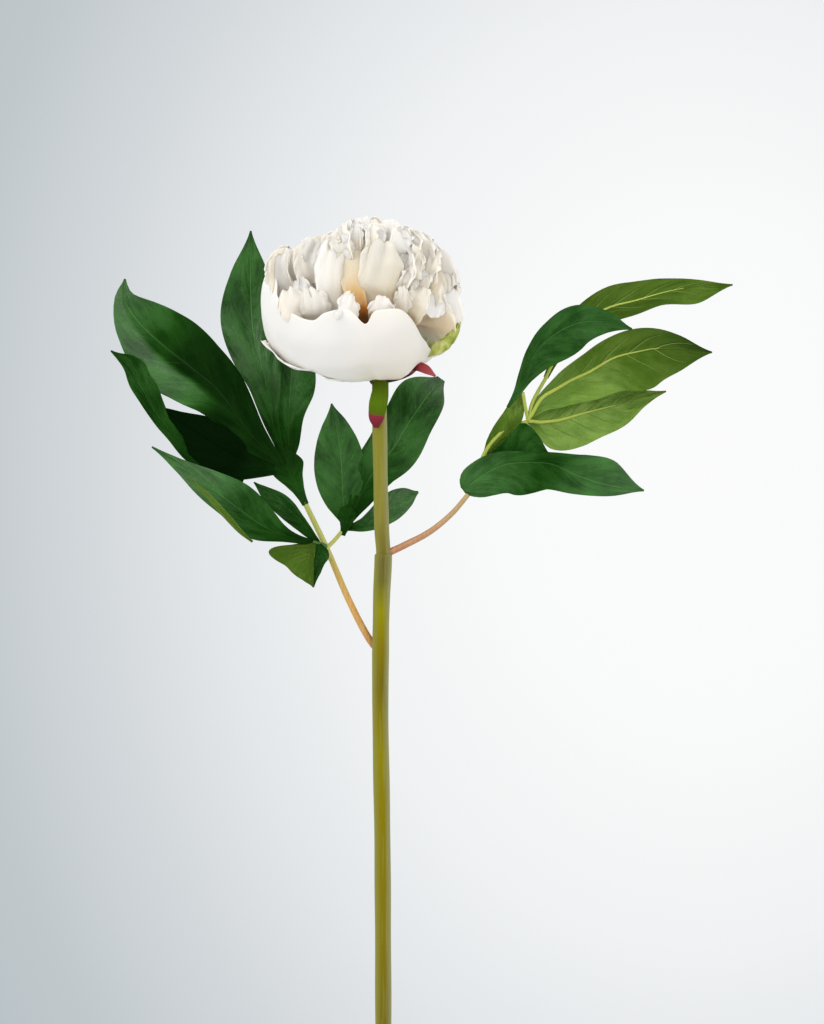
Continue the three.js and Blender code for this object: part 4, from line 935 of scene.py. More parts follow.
# The petals at the front of the crown, one by one. spine is a list of front-view places from root to tip,
# half the half widths on the way, and cup the radius across, above 0 where the middle stands towards the
# viewer. start and stop say which part of the petal cloth a petal shows.
FRONT_PETALS = [
    # the spoon-shaped petal in the middle, and the bright curled edge to its right
    dict(spine=[[-3, 603, -30], [-2.5, 612, -40], [-2, 622, -45.5], [-1.8, 633, -46], [-2, 642, -41],
         [-2.5, 646, -34]], half=[6, 9.5, 12.8, 13, 10.5, 7], cup=17, crest=0.24, pleats=2.6, pleat=1.7,
         phase=0.55, nick=0.07, tone=[0.85, 0.95, 1.05], frill=0.25),
    dict(spine=[[4, 604, -30], [8.5, 614, -38], [13, 624, -41], [14, 633, -39], [11, 640.5, -33]],
         half=[3, 5.5, 6.5, 6.5, 4.5], cup=-10, roll=-50, crest=0.24, pleat=0.4, phase=0.1, nick=0.06,
         frill=0.8),
    # left of the middle: a petal with a frilled left edge, toned deeper towards its right, and a petal toned
    # deep,
    #     amber and brown towards its root, both painted warm shade for the hollow and slit at its right
    dict(spine=[[-20.5, 600, -30], [-26, 611, -39], [-28.5, 622, -43], [-28.5, 633, -42], [-27, 641, -36],
         [-25.5, 645, -29]], half=[5, 7.5, 8.5, 8.5, 8, 6], cup=17, roll=8, crest=0.25, pleat=1.5, phase=0.3,
         nick=0.08, frill=0.7, tone=[0.2, 0.3, 0.6, 1.0]),
    dict(spine=[[-11.3, 600, -38], [-13, 609, -41], [-16.5, 620, -41], [-18.5, 633, -38.5], [-18, 645, -31]],
         half=[3, 4.5, 6.5, 7.5, 7], cup=-16, crest=0.27, pleats=2, pleat=0.3, phase=0.8, nick=0.04,
         frill=0.4, tone=1.0, crumple=0.2, start=0.14, stop=0.74),
    # at the right side: the pale petal, its white crest, and the inner petal that shows its peach, whose rise
    #     darkens its root as painted shade under the bowl's rim
    dict(spine=[[22, 589, -14], [29, 594, -22], [33.5, 602, -28.5], [34.6, 611, -31], [33, 620.5, -28]],
         half=[2.5, 6, 8, 8.5, 6.5], cup=16, roll=-8, crest=0.2, wave=0.4, pleats=2, pleat=0.3, phase=0.4,
         nick=0.03, frill=0.3, tone=0.05, start=0.6, crumple=0.3),
    dict(spine=[[30.8, 620.5, -29], [29.4, 615, -36], [27.6, 609, -39.5], [25.6, 603, -40.5]],
         half=[1.8, 4.6, 6.8, 6.6], cup=20, roll=-20, crest=0.26, wave=0.3, pleats=2, pleat=0.3, phase=0.7,
         nick=0.06, frill=0.4, tone=0.0, start=0.75, crumple=0.3),
    dict(spine=[[23, 586, -19], [26, 592, -26], [28.3, 598, -30.5], [27.5, 605, -32.5], [25, 612, -31.5],
         [22.5, 618, -26]], half=[6, 10, 12, 10.5, 8, 5], cup=-26, roll=-14, crest=0.25, wave=0.6, pleats=2,
         pleat=0.3, phase=0.2, nick=0.05, frill=0.7, start=0.1, stop=0.66, tone=[0.8, 0.78, 0.7],
         rise=[0.3, 0.08, 0.8, 1.0, 0.5, 0.0], crumple=0.4),
    # small folded petals over the bowl's notch
    dict(spine=[[-20, 594, -45], [-19.5, 602, -53.5], [-18.5, 609, -55.5], [-18, 614, -53],
         [-16.5, 617, -47]], half=[4.5, 6, 6.4, 5.6, 3.5], cup=10, roll=18, crest=0.28, wave=0.6, pleat=0.4,
         phase=0.2, nick=0.05, frill=0.6, tone=[0.2, 0.2, 0.6]),
    dict(spine=[[0, 597, -42], [-1, 604, -50], [-2, 610, -52.5], [-1, 615.5, -49]], half=[4, 7, 7.5, 5.5],
         cup=14, roll=-18, crest=0.28, wave=0.8, pleat=0.6, phase=0.6, nick=0.08, frill=0.8),
    dict(spine=[[6, 600, -38], [8, 608, -45], [9, 615, -47], [9.5, 620.5, -43]], half=[3, 5, 6, 4.5], cup=10,
         roll=-40, crest=0.28, wave=0.6, pleat=0.5, phase=0.4, nick=0.08, frill=0.9, tone=0.8),
    # the hollow at the left: its deep back, toned deep as painted shade in the hollow, and the small petals
    # in it
    dict(spine=[[-38, 600, -8], [-45, 614, -13], [-48, 628, -14], [-47.5, 639, -13], [-45, 646, -8]],
         half=[7, 13, 17, 16, 12], cup=-16, crest=0.25, pleats=4, pleat=0.8, phase=0.9, nick=0.05, frill=1.2,
         tone=1.0),
    dict(spine=[[-42, 598, -30], [-46, 606, -38], [-49.5, 613.5, -39], [-51.5, 620, -34]],
         half=[4.5, 8.5, 9.5, 7], cup=15, roll=6, crest=0.28, wave=1.2, pleat=0.9, phase=0.1, nick=0.08,
         frill=1, tone=0.6, start=0.45, stop=0.75),
    dict(spine=[[-35, 598, -32], [-37.5, 606, -41], [-40, 613, -42.5], [-42, 619, -38]],
         half=[5, 8.5, 9.5, 6.5], cup=17, roll=-16, crest=0.28, wave=1.2, pleats=4, pleat=1.5, phase=0.5,
         nick=0.06, frill=0.7, tone=0.5, start=0.45, stop=0.75),
    # narrow crinkled petals right of the middle
    dict(spine=[[9, 612, -32], [13, 624, -38], [14.5, 635, -36], [13, 643.5, -29]], half=[4, 6.5, 7.5, 6],
         cup=12, roll=-45, crest=0.28, wave=0.8, pleat=0.8, phase=0.7, nick=0.08, frill=1, tone=0.6),
    dict(spine=[[17, 612, -30], [22, 624, -36], [24.5, 635, -33], [23.5, 643, -25]], half=[5, 8, 8.5, 6.5],
         cup=-14, roll=-20, crest=0.28, wave=0.8, pleats=4, pleat=0.9, phase=0.2, nick=0.08, frill=1.2,
         tone=0.7),
    dict(spine=[[16, 604, -30], [23, 613, -36], [27, 621, -36], [28, 628.5, -31]], half=[4, 7, 7.5, 6],
         cup=13, roll=-35, crest=0.28, wave=1, pleat=0.7, phase=0.3, nick=0.08, frill=1, tone=0.9),
    dict(spine=[[12, 600, -36], [16.5, 608, -44], [18.5, 615, -45], [19, 621.5, -40]], half=[4, 6.5, 7.5, 6],
         cup=-12, roll=-10, crest=0.28, wave=1, pleat=0.7, phase=0.9, nick=0.08, frill=1, tone=0.9),
    dict(spine=[[20, 608, -20], [27, 620, -26], [31.5, 631, -24], [32, 639.5, -16]], half=[5, 8, 8.5, 6.5],
         cup=14, roll=-42, crest=0.28, wave=1, pleats=4, pleat=0.9, phase=0.5, nick=0.08, frill=1.2,
         tone=0.7),
    # the upper front, pleated and leaning back into the dome
    dict(spine=[[-43, 610, -14], [-50, 624, -18], [-53, 634, -18], [-52, 641, -13]], half=[8, 11.5, 12, 9],
         cup=-20, roll=-14, crest=0.22, wave=1, pleats=4, pleat=1.0, phase=0.2, nick=0.07, frill=1.3,
         tone=[0.2, 0.6, 0.7]),
    dict(spine=[[-33, 612, -21], [-38.5, 626, -26], [-40, 637, -24], [-37, 645.5, -15]],
         half=[5, 8.5, 9.5, 8], cup=-17, roll=4, crest=0.25, wave=1, pleats=4, pleat=1.0, phase=0.6,
         nick=0.07, frill=1.3, tone=[0.6, 0.5, 0.1]),
    dict(spine=[[-41, 603, -26], [-44, 611, -31], [-45.5, 619, -32.5], [-45, 626, -28]],
         half=[3.5, 6, 6.5, 4.5], cup=9, roll=-20, crest=0.28, wave=0.8, pleat=0.8, phase=0.4, nick=0.08,
         frill=1, tone=0.2),
    dict(spine=[[-20, 620, -26], [-23, 637, -34], [-23, 648, -29], [-20, 656, -16]], half=[7, 11, 11.5, 9],
         cup=20, roll=-8, crest=0.27, wave=1, pleat=1, phase=0.1, nick=0.07, frill=1.2, tone=0.4),
    dict(spine=[[-9, 622, -26], [-10, 639, -33], [-9.5, 650, -28], [-8, 658, -15]], half=[6, 10, 10.5, 8],
         cup=-18, roll=14, crest=0.27, wave=1, pleats=4, pleat=1, phase=0.5, nick=0.07, frill=1.2, tone=0.4),
    dict(spine=[[2, 622, -25], [3.5, 638, -32], [3.5, 649, -27], [1.5, 657, -14]], half=[7, 11, 11.5, 9],
         cup=20, roll=-14, crest=0.27, wave=1, pleat=1, phase=0.9, nick=0.07, frill=1.2, tone=0.4),
    dict(spine=[[13, 620, -23], [17, 636, -29], [17, 646, -23], [13, 653.5, -11]], half=[7, 11.5, 12, 9],
         cup=-22, roll=-18, crest=0.27, wave=1, pleats=4, pleat=0.9, phase=0.3, nick=0.07, frill=1.3,
         tone=0.4),
    dict(spine=[[22, 616, -20], [28, 631, -25], [29, 640, -19], [25, 647.5, -8]], half=[7, 11.5, 11.5, 8.5],
         cup=18, roll=-28, crest=0.27, wave=1, pleats=4, pleat=0.9, phase=0.7, nick=0.07, frill=1.3,
         tone=0.5),
]

PETAL_HABIT = dict(
    roll=0, layer=0, crest=0.18, wave=0.0, pleats=3, pleat=0.0, frill=0.0, nick=0.0, phase=0.0, tone=0.35,
    rise=1, start=0.3, stop=1, crumple=0.9,
)


def turned_axis():
    """The bloom's axis, leaning to the left and towards the viewer."""
    left, near = math.radians(BLOOM["lean_left"]), math.radians(BLOOM["lean_near"])
    return np.array([-math.cos(near) * math.sin(left), -math.sin(near), math.cos(near) * math.cos(left)])


BLOOM_ROOT = np.array(BLOOM["root"], float)
BLOOM_AXIS = turned_axis()


def laid_out(petal, across, along):
    """A petal with its habit, with u from -1 to 1 across it from left to right and v from its root to its
    tip."""
    return {**PETAL_HABIT, **petal}, 2 * across[None, :] - 1, along[:, None]


def petal_reach(p, u, v):
    """How far along a petal its place (u, v) lies, so that the tip's edge comes out rounded and uneven."""
    slow = np.sin(2 * np.pi * (0.9 * u + p["phase"]))
    quick = np.sin(2 * np.pi * (1.9 * u + 3.7 * p["phase"]) + 1.3 * slow)
    return v * (1 - p["crest"] * np.abs(u) ** 3.2 - p["nick"] * (1 + 0.7 * slow + 0.3 * quick) * v**6 / 2)


def petal_relief(p, u, v):
    """How far waves, pleats and the frilled edge lift a petal's surface."""
    waves = p["wave"] * np.sin(2 * np.pi * (1.1 * u + p["phase"])) * v**3
    pleats = p["pleat"] * np.sin(np.pi * p["pleats"] * u + 2 * np.pi * p["phase"] + 1.4 * np.sin(4 * v))
    sides = np.sin(2 * np.pi * (4.3 * v + p["phase"]) + 2 * u) * np.abs(u) ** 3 * smoothstep(v, 0.3, 0.7)
    tip = np.sin(2 * np.pi * (1.9 * u + p["phase"]) + 3 * p["phase"]) * v**7
    return waves + 0.8 * pleats * smoothstep(v, 0.3, 0.95) + p["frill"] * (sides + 0.8 * tip)


def arcs(tips, bulge, reach):
    """Arcs from the bloom's root to tips, which bulge away from its axis: their places at a share of their
    length, and the ways outward and sideways there."""
    chord = tips - BLOOM_ROOT
    length = np.linalg.norm(chord, axis=-1)
    onward = chord / length[..., None]
    away = chord - (chord @ BLOOM_AXIS)[..., None] * BLOOM_AXIS
    away = unit(away - np.sum(away * onward, axis=-1, keepdims=True) * onward)
    bulge = np.radians(bulge)
    ring = length / (2 * np.sin(bulge))
    heading = bulge * (2 * reach - 1)
    up = (ring * (np.sin(heading) + np.sin(bulge)))[..., None]
    out = (ring * (np.cos(heading) - np.cos(bulge)))[..., None]
    outward = away * np.cos(heading)[..., None] + onward * np.sin(heading)[..., None]
    return BLOOM_ROOT + up * onward + out * away, outward, np.cross(onward, away)


def arc_petal(petal, across, along):
    """Places on a petal that runs on an arc from the bloom's root, as rows from its root to its tip."""
    p, u, v = laid_out(petal, across, along)
    centre, outer, side = arcs(seen(p["tip"]), p["bulge"], petal_reach(p, u, v))
    tilt = (np.radians(p["roll"]) * v)[..., None]
    over = side * np.cos(tilt) + outer * np.sin(tilt)
    outward = outer * np.cos(tilt) - side * np.sin(tilt)
    opened = between(0.42, 1, smoothstep(v, 0, 0.5))
    cup = p["cup"] * opened
    bend = u * p["half"] * opened * (1 - 0.16 * smoothstep(v, 0.7, 1)) / cup
    off = p["layer"] * smoothstep(v, 0, 0.3) + petal_relief(p, u, v) - cup * (1 - np.cos(bend))
    return centre + over * (cup * np.sin(bend))[..., None] + outward * off[..., None]


def bowl_petal(petal, across, along):
    """Places on a wide petal with an arc from the bloom's root to each place of its rim."""
    v = along[:, None]
    rim = np.array(petal["rim"], float)
    ends = Line(np.column_stack([seen(rim[:, :3]), rim[:, 3]])).at(across)
    reach = 1 + 0.006 * np.sin(38 * across) + 0.004 * np.sin(83 * across)
    for place, width, depth in petal["notches"]:
        reach = reach - depth * np.exp(-(((across - place) / width) ** 2))
    off = 0.4 * np.sin(47 * across) * v**9
    for place, height, width in petal["folds"]:
        off = off + height * smoothstep(across, place - width, place + width) * smoothstep(v, 0.05, 0.5)
    centre, outer, _ = arcs(ends[:, :3], ends[:, 3], reach * v)
    return centre + outer * off[..., None]


def spine_petal(petal, across, along):
    """Places on a petal that follows its own spine."""
    p, u, v = laid_out(petal, across, along)
    line = Line(seen(p["spine"]))
    reach = petal_reach(p, u, v)
    way = line.way(reach)
    near = facing(way, p["roll"] + 0 * reach)
    bend = u * blended(p["half"], reach) / p["cup"]
    off = petal_relief(p, u, v) - p["cup"] * (1 - np.cos(bend))
    return line.at(reach) + np.cross(way, near) * (p["cup"] * np.sin(bend))[..., None] + near * off[..., None]


def row_petals():
    """The crown's rows of petals, with the frame's draws, and each petal's own pleats and frills."""
    draw = draws(CROWN_SEED)
    fine = draws(CROWN_SEED + 1)
    petals = []
    for row in CROWN_ROWS:
        for across, up in row["tips"]:
            depth = row["depth"] + 5 * (next(draw) - 0.5)
            inward = ROW_INWARD * smoothstep(-across, *ROW_INWARD_FROM)
            half = 1.15 * row["half"] * between(0.92, 1.12, next(draw))
            crest = between(0.16, 0.3, next(draw))
            roll = 36 * (next(draw) - 0.5)
            next(draw)
            petals.append(dict(
                tip=[across + inward, up, depth], half=half, crest=crest, roll=roll, bulge=row["bulge"],
                cup=1.5 * row["cup"], phase=next(fine), pleats=between(3, 5, next(fine)),
                pleat=between(0.7, 1.3, next(fine)), frill=between(0.6, 1.1, next(fine)),
                nick=between(0.03, 0.06, next(fine)), tone=between(0.5, 0.9, next(fine)),
            ))
    return petals[len(CROWN_ROWS[0]["tips"]):]


# The dome under the crown's skin in the front view: its middle and half sizes [across, up], the depth of its
# edge, and how far its middle bulges towards the viewer.
DOME = dict(middle=[-12.4, 610], half=[54, 50], back=-8, bulge=36)


def dome_depth(place):
    """How deep the dome's skin lies at a place of the front view."""
    apart = (np.array(place) - DOME["middle"]) / DOME["half"]
    return DOME["back"] - DOME["bulge"] * math.sqrt(max(1 - apart @ apart, 0.02))


# How far below its tip and how deep under the dome's skin a crinkled petal runs, from its root to its tip.
RUFFLE_SPINE = [(19, 8), (12, 0), (5, -1.5), (0, 2)]


def ruffle_petals():
    """The narrow crinkled petals, drawn over the patches of RUFFLES."""
    petals = []
    for patch in RUFFLES:
        draw = draws(patch["seed"])
        for _ in range(patch["count"]):
            across, up = (m + s * (2 * next(draw) - 1) for m, s in zip(patch["middle"], patch["spread"]))
            up = min(up, outline_at(DOME_LINE, across) - 1.5)
            inward = 0.3 * (BLOOM["middle"][0] - across)
            spine = []
            for drop, sink in RUFFLE_SPINE:
                place = [across + inward * drop / RUFFLE_SPINE[0][0], up - drop]
                spine.append([*place, dome_depth(place) + sink])
            half = patch["half"] * between(0.8, 1.25, next(draw))
            petals.append(dict(
                spine=spine, half=[0.5 * half, half, 1.1 * half, 0.8 * half],
                cup=between(5, 9, next(draw)) * (1 if next(draw) > 0.4 else -1),
                roll=between(-50, 30, next(draw)), crest=0.28, wave=0.6, pleats=between(2, 4, next(draw)),
                pleat=0.6, frill=0.5, nick=0.06, phase=next(draw), tone=between(0.1, 0.75, next(draw)),
            ))
    return petals


def over_base(grid):
    """Raises a petal's underside, with a soft bend, to the bloom's lower outline in the front view."""
    across, up = front_view(grid)
    below = outline_at(BASE_LINE, across) - up
    raised = grid.copy()
    raised[..., 2] += (below + np.sqrt(below**2 + 1)) / 2
    return raised


def under_dome(grid, along, seed):
    """Lowers a petal's tip, column by column, to where the dome's outline lies in the front view."""
    across, up = front_view(grid)
    over = np.maximum(0, (up - outline_at(DOME_LINE, across) - 0.8 * ripple(grid, 9, seed)).max(axis=0))
    over = np.convolve(np.pad(over, 2, mode="edge"), np.ones(5) / 5, mode="valid")
    lower = grid.copy()
    lower[..., 2] -= over[None, :] * along[:, None] ** 2
    return lower


def toned(petal, across, along):
    """A petal's tone from its left to its right edge, times its rise from root to tip."""
    tone, rise = (np.atleast_1d({**PETAL_HABIT, **petal}[key]) for key in ("tone", "rise"))
    shares = np.interp(along, np.linspace(0, 1, len(rise)), rise)
    return np.interp(across, np.linspace(0, 1, len(tone)), tone)[None, :] * shares[:, None]


def make_guards():
    """The bowl, the guard petals and the lime strip. marks say which part of the petal cloth is shown."""
    skin = Skin()
    fine = draws(5)
    across, along = edged(160), edged(48)
    marks = between(0.05, 1, along)
    grid = over_base(bowl_petal(BOWL, across, marks))
    skin.sheet(grid, across, marks, PETAL, tone=toned(BOWL, across, along), crumple=0.5, size=17)
    across = along = edged(44)
    for petal in GUARD_PETALS:
        petal = {"frill": 0.5, "tone": 0.05, **petal, "phase": next(fine), "nick": 0.03, "pleat": 0.2}
        grid = over_base(arc_petal(petal, across, along))
        skin.sheet(grid, across, along, PETAL, tone=petal["tone"], crumple=0.4)
    skin.sheet(spine_petal(LIME_PETAL, across, along), across, along, PETAL, near_slot=1, far_slot=1)
    mesh = skin.mesh("bloom_guard_petals", [petal_white, petal_lime])
    piece("bloom_guard_petals", mesh, ["bloom"])


def make_crown():
    """The crown's rows, its front petals and its ruffles, all kept under the dome's outline."""
    skin = Skin()
    across, along = edged(22), edged(26)
    marks = between(0.3, 1, along)
    for petal in row_petals():
        grid = under_dome(arc_petal(petal, across, marks), marks, len(skin.parts))
        skin.sheet(grid, across, marks, PETAL, tone=toned(petal, across, along), crumple=0.8, size=11)
    for petal in FRONT_PETALS + ruffle_petals():
        petal = {**PETAL_HABIT, **petal}
        grid = under_dome(spine_petal(petal, across, along), along, len(skin.parts))
        marks = between(petal["start"], petal["stop"], along)
        tint = toned(petal, across, along)
        skin.sheet(grid, across, marks, PETAL, tone=tint, crumple=petal["crumple"], size=11)
    piece("bloom_crown_petals", skin.mesh("bloom_crown_petals", [petal_white]), ["bloom"])


make_guards()
make_crown()


# Heart of the bloom: small petals by the golden angle over a dome


def heart_tree():
    """A tree that stands copies of a petal over a dome, closer to upright near its top, and ruffles them."""
    tree, given = node_group("Petals over a dome", {
        "Petal": "Geometry", "Count": "Int", "Dome": "Vector", "Rise": "Vector", "Size": "Float",
        "Middle": "Vector", "Lean": "Vector", "Widest turn": "Float", "Ruffle": "Float", "Seed": "Int",
        "Skin": "Material",
    }, "Petals")
    index = add(tree, "GeometryNodeInputIndex")
    share = add(tree, "Math", [index, given["Count"]], operation="DIVIDE")
    root = add(tree, "Math", [share], operation="SQRT")
    tilt = add(tree, "Math", [root, given["Widest turn"]], operation="MULTIPLY")
    turn = add(tree, "Math", [index, math.pi * (3 - math.sqrt(5))], operation="MULTIPLY")
    flat, high, cosine, sine = (
        add(tree, "Math", [angle], operation=operation)
        for angle, operation in [(tilt, "SINE"), (tilt, "COSINE"), (turn, "COSINE"), (turn, "SINE")]
    )
    x, y = (add(tree, "Math", [flat, part], operation="MULTIPLY") for part in (cosine, sine))
    way = add(tree, "CombineXYZ", [x, y, high])
    place = add(tree, "VectorMath", [way, given["Dome"]], operation="MULTIPLY")
    points = add(tree, "GeometryNodePoints", [given["Count"], place])
    seed = given["Seed"]
    tint = add(
        tree, "FunctionNodeRandomValue", {"Min": 0.45, "Max": 0.95, "Seed": seed}, data_type="FLOAT",
    ).outputs[1]
    marked = add(
        tree, "GeometryNodeStoreNamedAttribute", {"Geometry": points, "Name": "tone", "Value": tint},
        data_type="FLOAT", domain="POINT",
    )
    growth = add(tree, "VectorMath", [way, given["Rise"]], operation="ADD")
    facing_out = add(
        tree, "FunctionNodeAxesToRotation", {"Primary Axis": growth, "Secondary Axis": way},
        primary_axis="Z", secondary_axis="X",
    )
    wobble = add(
        tree, "FunctionNodeRandomValue", {"Min": (-0.3, -0.25, -0.5), "Max": (0.3, 0.25, 0.5), "Seed": seed},
        data_type="FLOAT_VECTOR",
    )
    turned = add(tree, "FunctionNodeRotateRotation", [facing_out, wobble], rotation_space="LOCAL")
    size = add(
        tree, "FunctionNodeRandomValue", {"Min": 0.8, "Max": 1.15, "Seed": seed}, data_type="FLOAT",
    ).outputs[1]
    scaled = add(tree, "Math", [size, given["Size"]], operation="MULTIPLY")
    stood = add(tree, "GeometryNodeInstanceOnPoints", {
        "Points": marked, "Instance": given["Petal"], "Rotation": turned, "Scale": scaled,
    })
    whole = add(tree, "GeometryNodeRealizeInstances", {"Geometry": stood})
    leant = add(tree, "GeometryNodeTransform", {
        "Geometry": whole, "Translation": given["Middle"], "Rotation": given["Lean"],
    })
    marks = add(tree, "GeometryNodeInputNamedAttribute", {"Name": "UVMap"}, data_type="FLOAT_VECTOR")
    along = add(tree, "SeparateXYZ", [marks]).outputs["Y"]
    noise = add(tree, "TexNoise", {"Scale": 130.0, "Detail": 1.0}).outputs["Color"]
    centred = add(tree, "VectorMath", [noise, (0.5, 0.5, 0.5)], operation="SUBTRACT")
    reach = add(tree, "Math", [along, given["Ruffle"]], operation="MULTIPLY")
    moved = add(tree, "VectorMath", {0: centred, "Scale": reach}, operation="SCALE")
    ruffled = add(tree, "GeometryNodeSetPosition", {"Geometry": leant, "Offset": moved})
    smooth = add(tree, "GeometryNodeSetShadeSmooth", {"Geometry": ruffled})
    worn = add(tree, "GeometryNodeSetMaterial", {"Geometry": smooth, "Material": given["Skin"]})
    add(tree, "NodeGroupOutput", [worn])
    return tree


def small_petal():
    """One small petal as a plain surface, standing on the origin, hollow towards -X, its tip curled out."""
    across = np.linspace(0, 1, 15)
    along = np.linspace(0, 1, 17)
    p, u, v = laid_out(dict(crest=0.25, nick=0.07, pleat=0.7, frill=0.8, phase=0.4), across, along)
    reach = petal_reach(p, u, v)
    length, half, cup, sunk = 27, 12.5, 15, 4
    bend = u * half * between(0.4, 1, smoothstep(reach, 0, 0.6)) / cup
    off = petal_relief(p, u, v) - cup * (1 - np.cos(bend)) + 7 * np.sin(np.pi * reach * 0.9) + 2.5 * reach**6
    places = np.stack([off, cup * np.sin(bend), length * reach - sunk], -1) * MM
    faces = quads(np.arange(off.size).reshape(off.shape))
    mesh = bpy.data.meshes.new("small_petal")
    mesh.from_pydata(places.reshape(-1, 3).tolist(), [], faces.tolist())
    marks = marks_of(across, between(0.25, 1, along))[faces.ravel()]
    mesh.uv_layers.new(name="UVMap").data.foreach_set("uv", marks.astype(np.float32).ravel())
    return mesh


def make_heart():
    """The small petals that fill the crown behind the front ones."""
    middle = np.array(BLOOM["middle"]) + np.array([0, 13, -9])
    mesh = grown("bloom_heart", small_petal(), heart_tree(), {
        "Count": 64, "Dome": [27 * MM, 24 * MM, 21 * MM], "Middle": [v * MM for v in middle],
        "Lean": [math.radians(BLOOM["lean_near"]), math.radians(-BLOOM["lean_left"]), 0.0],
        "Rise": [0.0, 0.0, 0.75], "Size": 1.0, "Widest turn": 1.0, "Ruffle": 6 * MM, "Seed": 3,
        "Skin": petal_white,
    }, thickness=0.35)
    piece("bloom_heart", mesh, ["bloom"])


make_heart()


# Calyx

# The cup's height from the bloom's root and its radius, from its lower to its upper edge.
CALYX_CUP = [[-8.6, 3.9], [-6.4, 3.9], [-4.6, 3.9], [-3.2, 4.0]]
CALYX_WALL = 0.8
BRACTS = [
    dict(midrib=[[-1.7, 569.4, -14.4], [-2.2, 563.5, -15.4], [-3.3, 557, -15.6], [-4.4, 551, -15.4],
         [-4.3, 543.9, -15]], left=[4.0, 4.3, 4.8, 4.9, 4.7, 4.0, 1.2],
         right=[3.6, 3.9, 4.4, 4.6, 4.0, 3.2, 1.0], fold=0, droop=0.38, wave=0),
    dict(midrib=[[2, 571, -12], [7, 573, -17], [12, 575.4, -21.5], [16, 577, -28], [19.4, 577, -32],
         [22.8, 575.4, -33.5], [27.8, 571.8, -33]], left=[0.7, 0.7, 0.9, 1.6, 2.1, 2.3, 0.5],
         right=[0.7, 0.7, 0.9, 1.7, 2.4, 2.3, 0.5], fold=0, droop=0.2, wave=0),
]
# Sepals lie along the guard petals round the back, up to a share of their length.
SEPALS = [
    dict(tip=[26, 624, 26], bulge=46, half=9.5, cup=40, up_to=0.4),
    dict(tip=[-12, 625, 40], bulge=50, half=9.5, cup=42, up_to=0.38),
]
SEPAL_DROP = 3.8
SEPAL_LAYER = 1.2
SEPAL_POINT = 0.97


def make_calyx():
    skin = Skin()
    across, along = edged(12), edged(24)
    for bract, slot in zip(BRACTS, (1, 0)):
        line = Line(seen(bract["midrib"]))
        grid = leaf_places({**LEAF_HABIT, **bract}, line, 2 * across[None, :] - 1, along[:, None])
        skin.sheet(grid, across, along, BLADE, near_slot=slot, far_slot=slot)
    for sepal in SEPALS:
        petal = dict(sepal, crest=0, layer=SEPAL_LAYER)
        rows = []
        for share in along:
            narrowed = 0.5 + (across - 0.5) * math.sqrt(1 - SEPAL_POINT * share**3)
            rows.append(arc_petal(petal, narrowed, np.array([share * sepal["up_to"]]))[0])
        skin.sheet(np.array(rows) - np.array([0, 0, SEPAL_DROP]), across, along, BLADE)
    turn = np.linspace(0, 2 * np.pi, 49)
    shares = np.linspace(0, 1, 12)
    heights, radii = (blended(column, shares) for column in zip(*CALYX_CUP))
    ring = np.stack([np.cos(turn), np.sin(turn), 0 * turn], -1)
    wall = ring * (radii[:, None, None] - CALYX_WALL / 2) + heights[:, None, None] * np.array([0, 0, 1])
    skin.sheet(BLOOM_ROOT + wall, np.linspace(0, 1, 49), shares * 0.4, CALYX_WALL)
    piece("calyx_sepals", skin.mesh("calyx_sepals", [sepal_crimson, bract_green]), ["calyx"])


make_calyx()


# Vase and water


def make_vase():
    """The vase, turned from a smooth outline that runs up the outside, over the lip and down the inside."""
    foot, belly, shoulder, neck, lip = (VASE[part] for part in ("foot", "belly", "shoulder", "neck", "lip"))
    top = VASE["height"]
    outside = np.array([
        [foot - 1.5, 0], [foot - 0.4, 0.8], [foot, 3], [foot + 4.6, 24], [belly - 0.8, 46],
        [belly, VASE["belly_up"]], [belly - 2.6, 82], [shoulder + 5.4, 104],
        [shoulder - 3.4, VASE["shoulder_up"]], [neck + 4.2, 140], [neck + 1, 156], [neck, VASE["neck_up"]],
        [neck + 0.5, 190], [lip - 0.8, 203], [lip, top - 1.5],
    ])
    inside = outside[3:-1] - np.array([VASE["wall"], 0])
    rim = [[lip - 0.35, top - 0.4], [lip - 1.2, top], [lip - 2.3, top - 0.3], [lip - 3.0, top - 1.8]]
    floor = [[foot - 2, 12], [foot - 6, VASE["floor"]]]

    def smooth(profile, count):
        return Line(profile).at(np.linspace(0, 1, count))

    wall = np.vstack([
        smooth(outside, 96), smooth([outside[-1], *rim], 9)[1:],
        smooth([rim[-1], *inside[::-1], *floor], 70)[1:],
    ])
    profile = np.vstack([[[0.01, 0]], wall, [[0.01, VASE["floor"]]]])
    turn = np.linspace(0, 2 * np.pi, VASE["segments"], endpoint=False)
    radius, up = (np.repeat(profile[:, k : k + 1], len(turn), axis=1) for k in (0, 1))
    places = np.stack([radius * np.cos(turn), radius * np.sin(turn), up], -1).reshape(-1, 3)
    number = np.arange(len(places)).reshape(radius.shape)
    faces = quads(np.column_stack([number, number[:, :1]]))
    skin = Skin()
    skin.take(places, np.zeros((len(places), 2)), faces, np.zeros(len(faces)))
    piece("vase_glazed", skin.mesh("vase_glazed", [glaze]), ["vase"])


make_vase()
water_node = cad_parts["water"]
water_node.data.materials.clear()
water_node.data.materials.append(water)


# Floor, backdrop, lights and camera


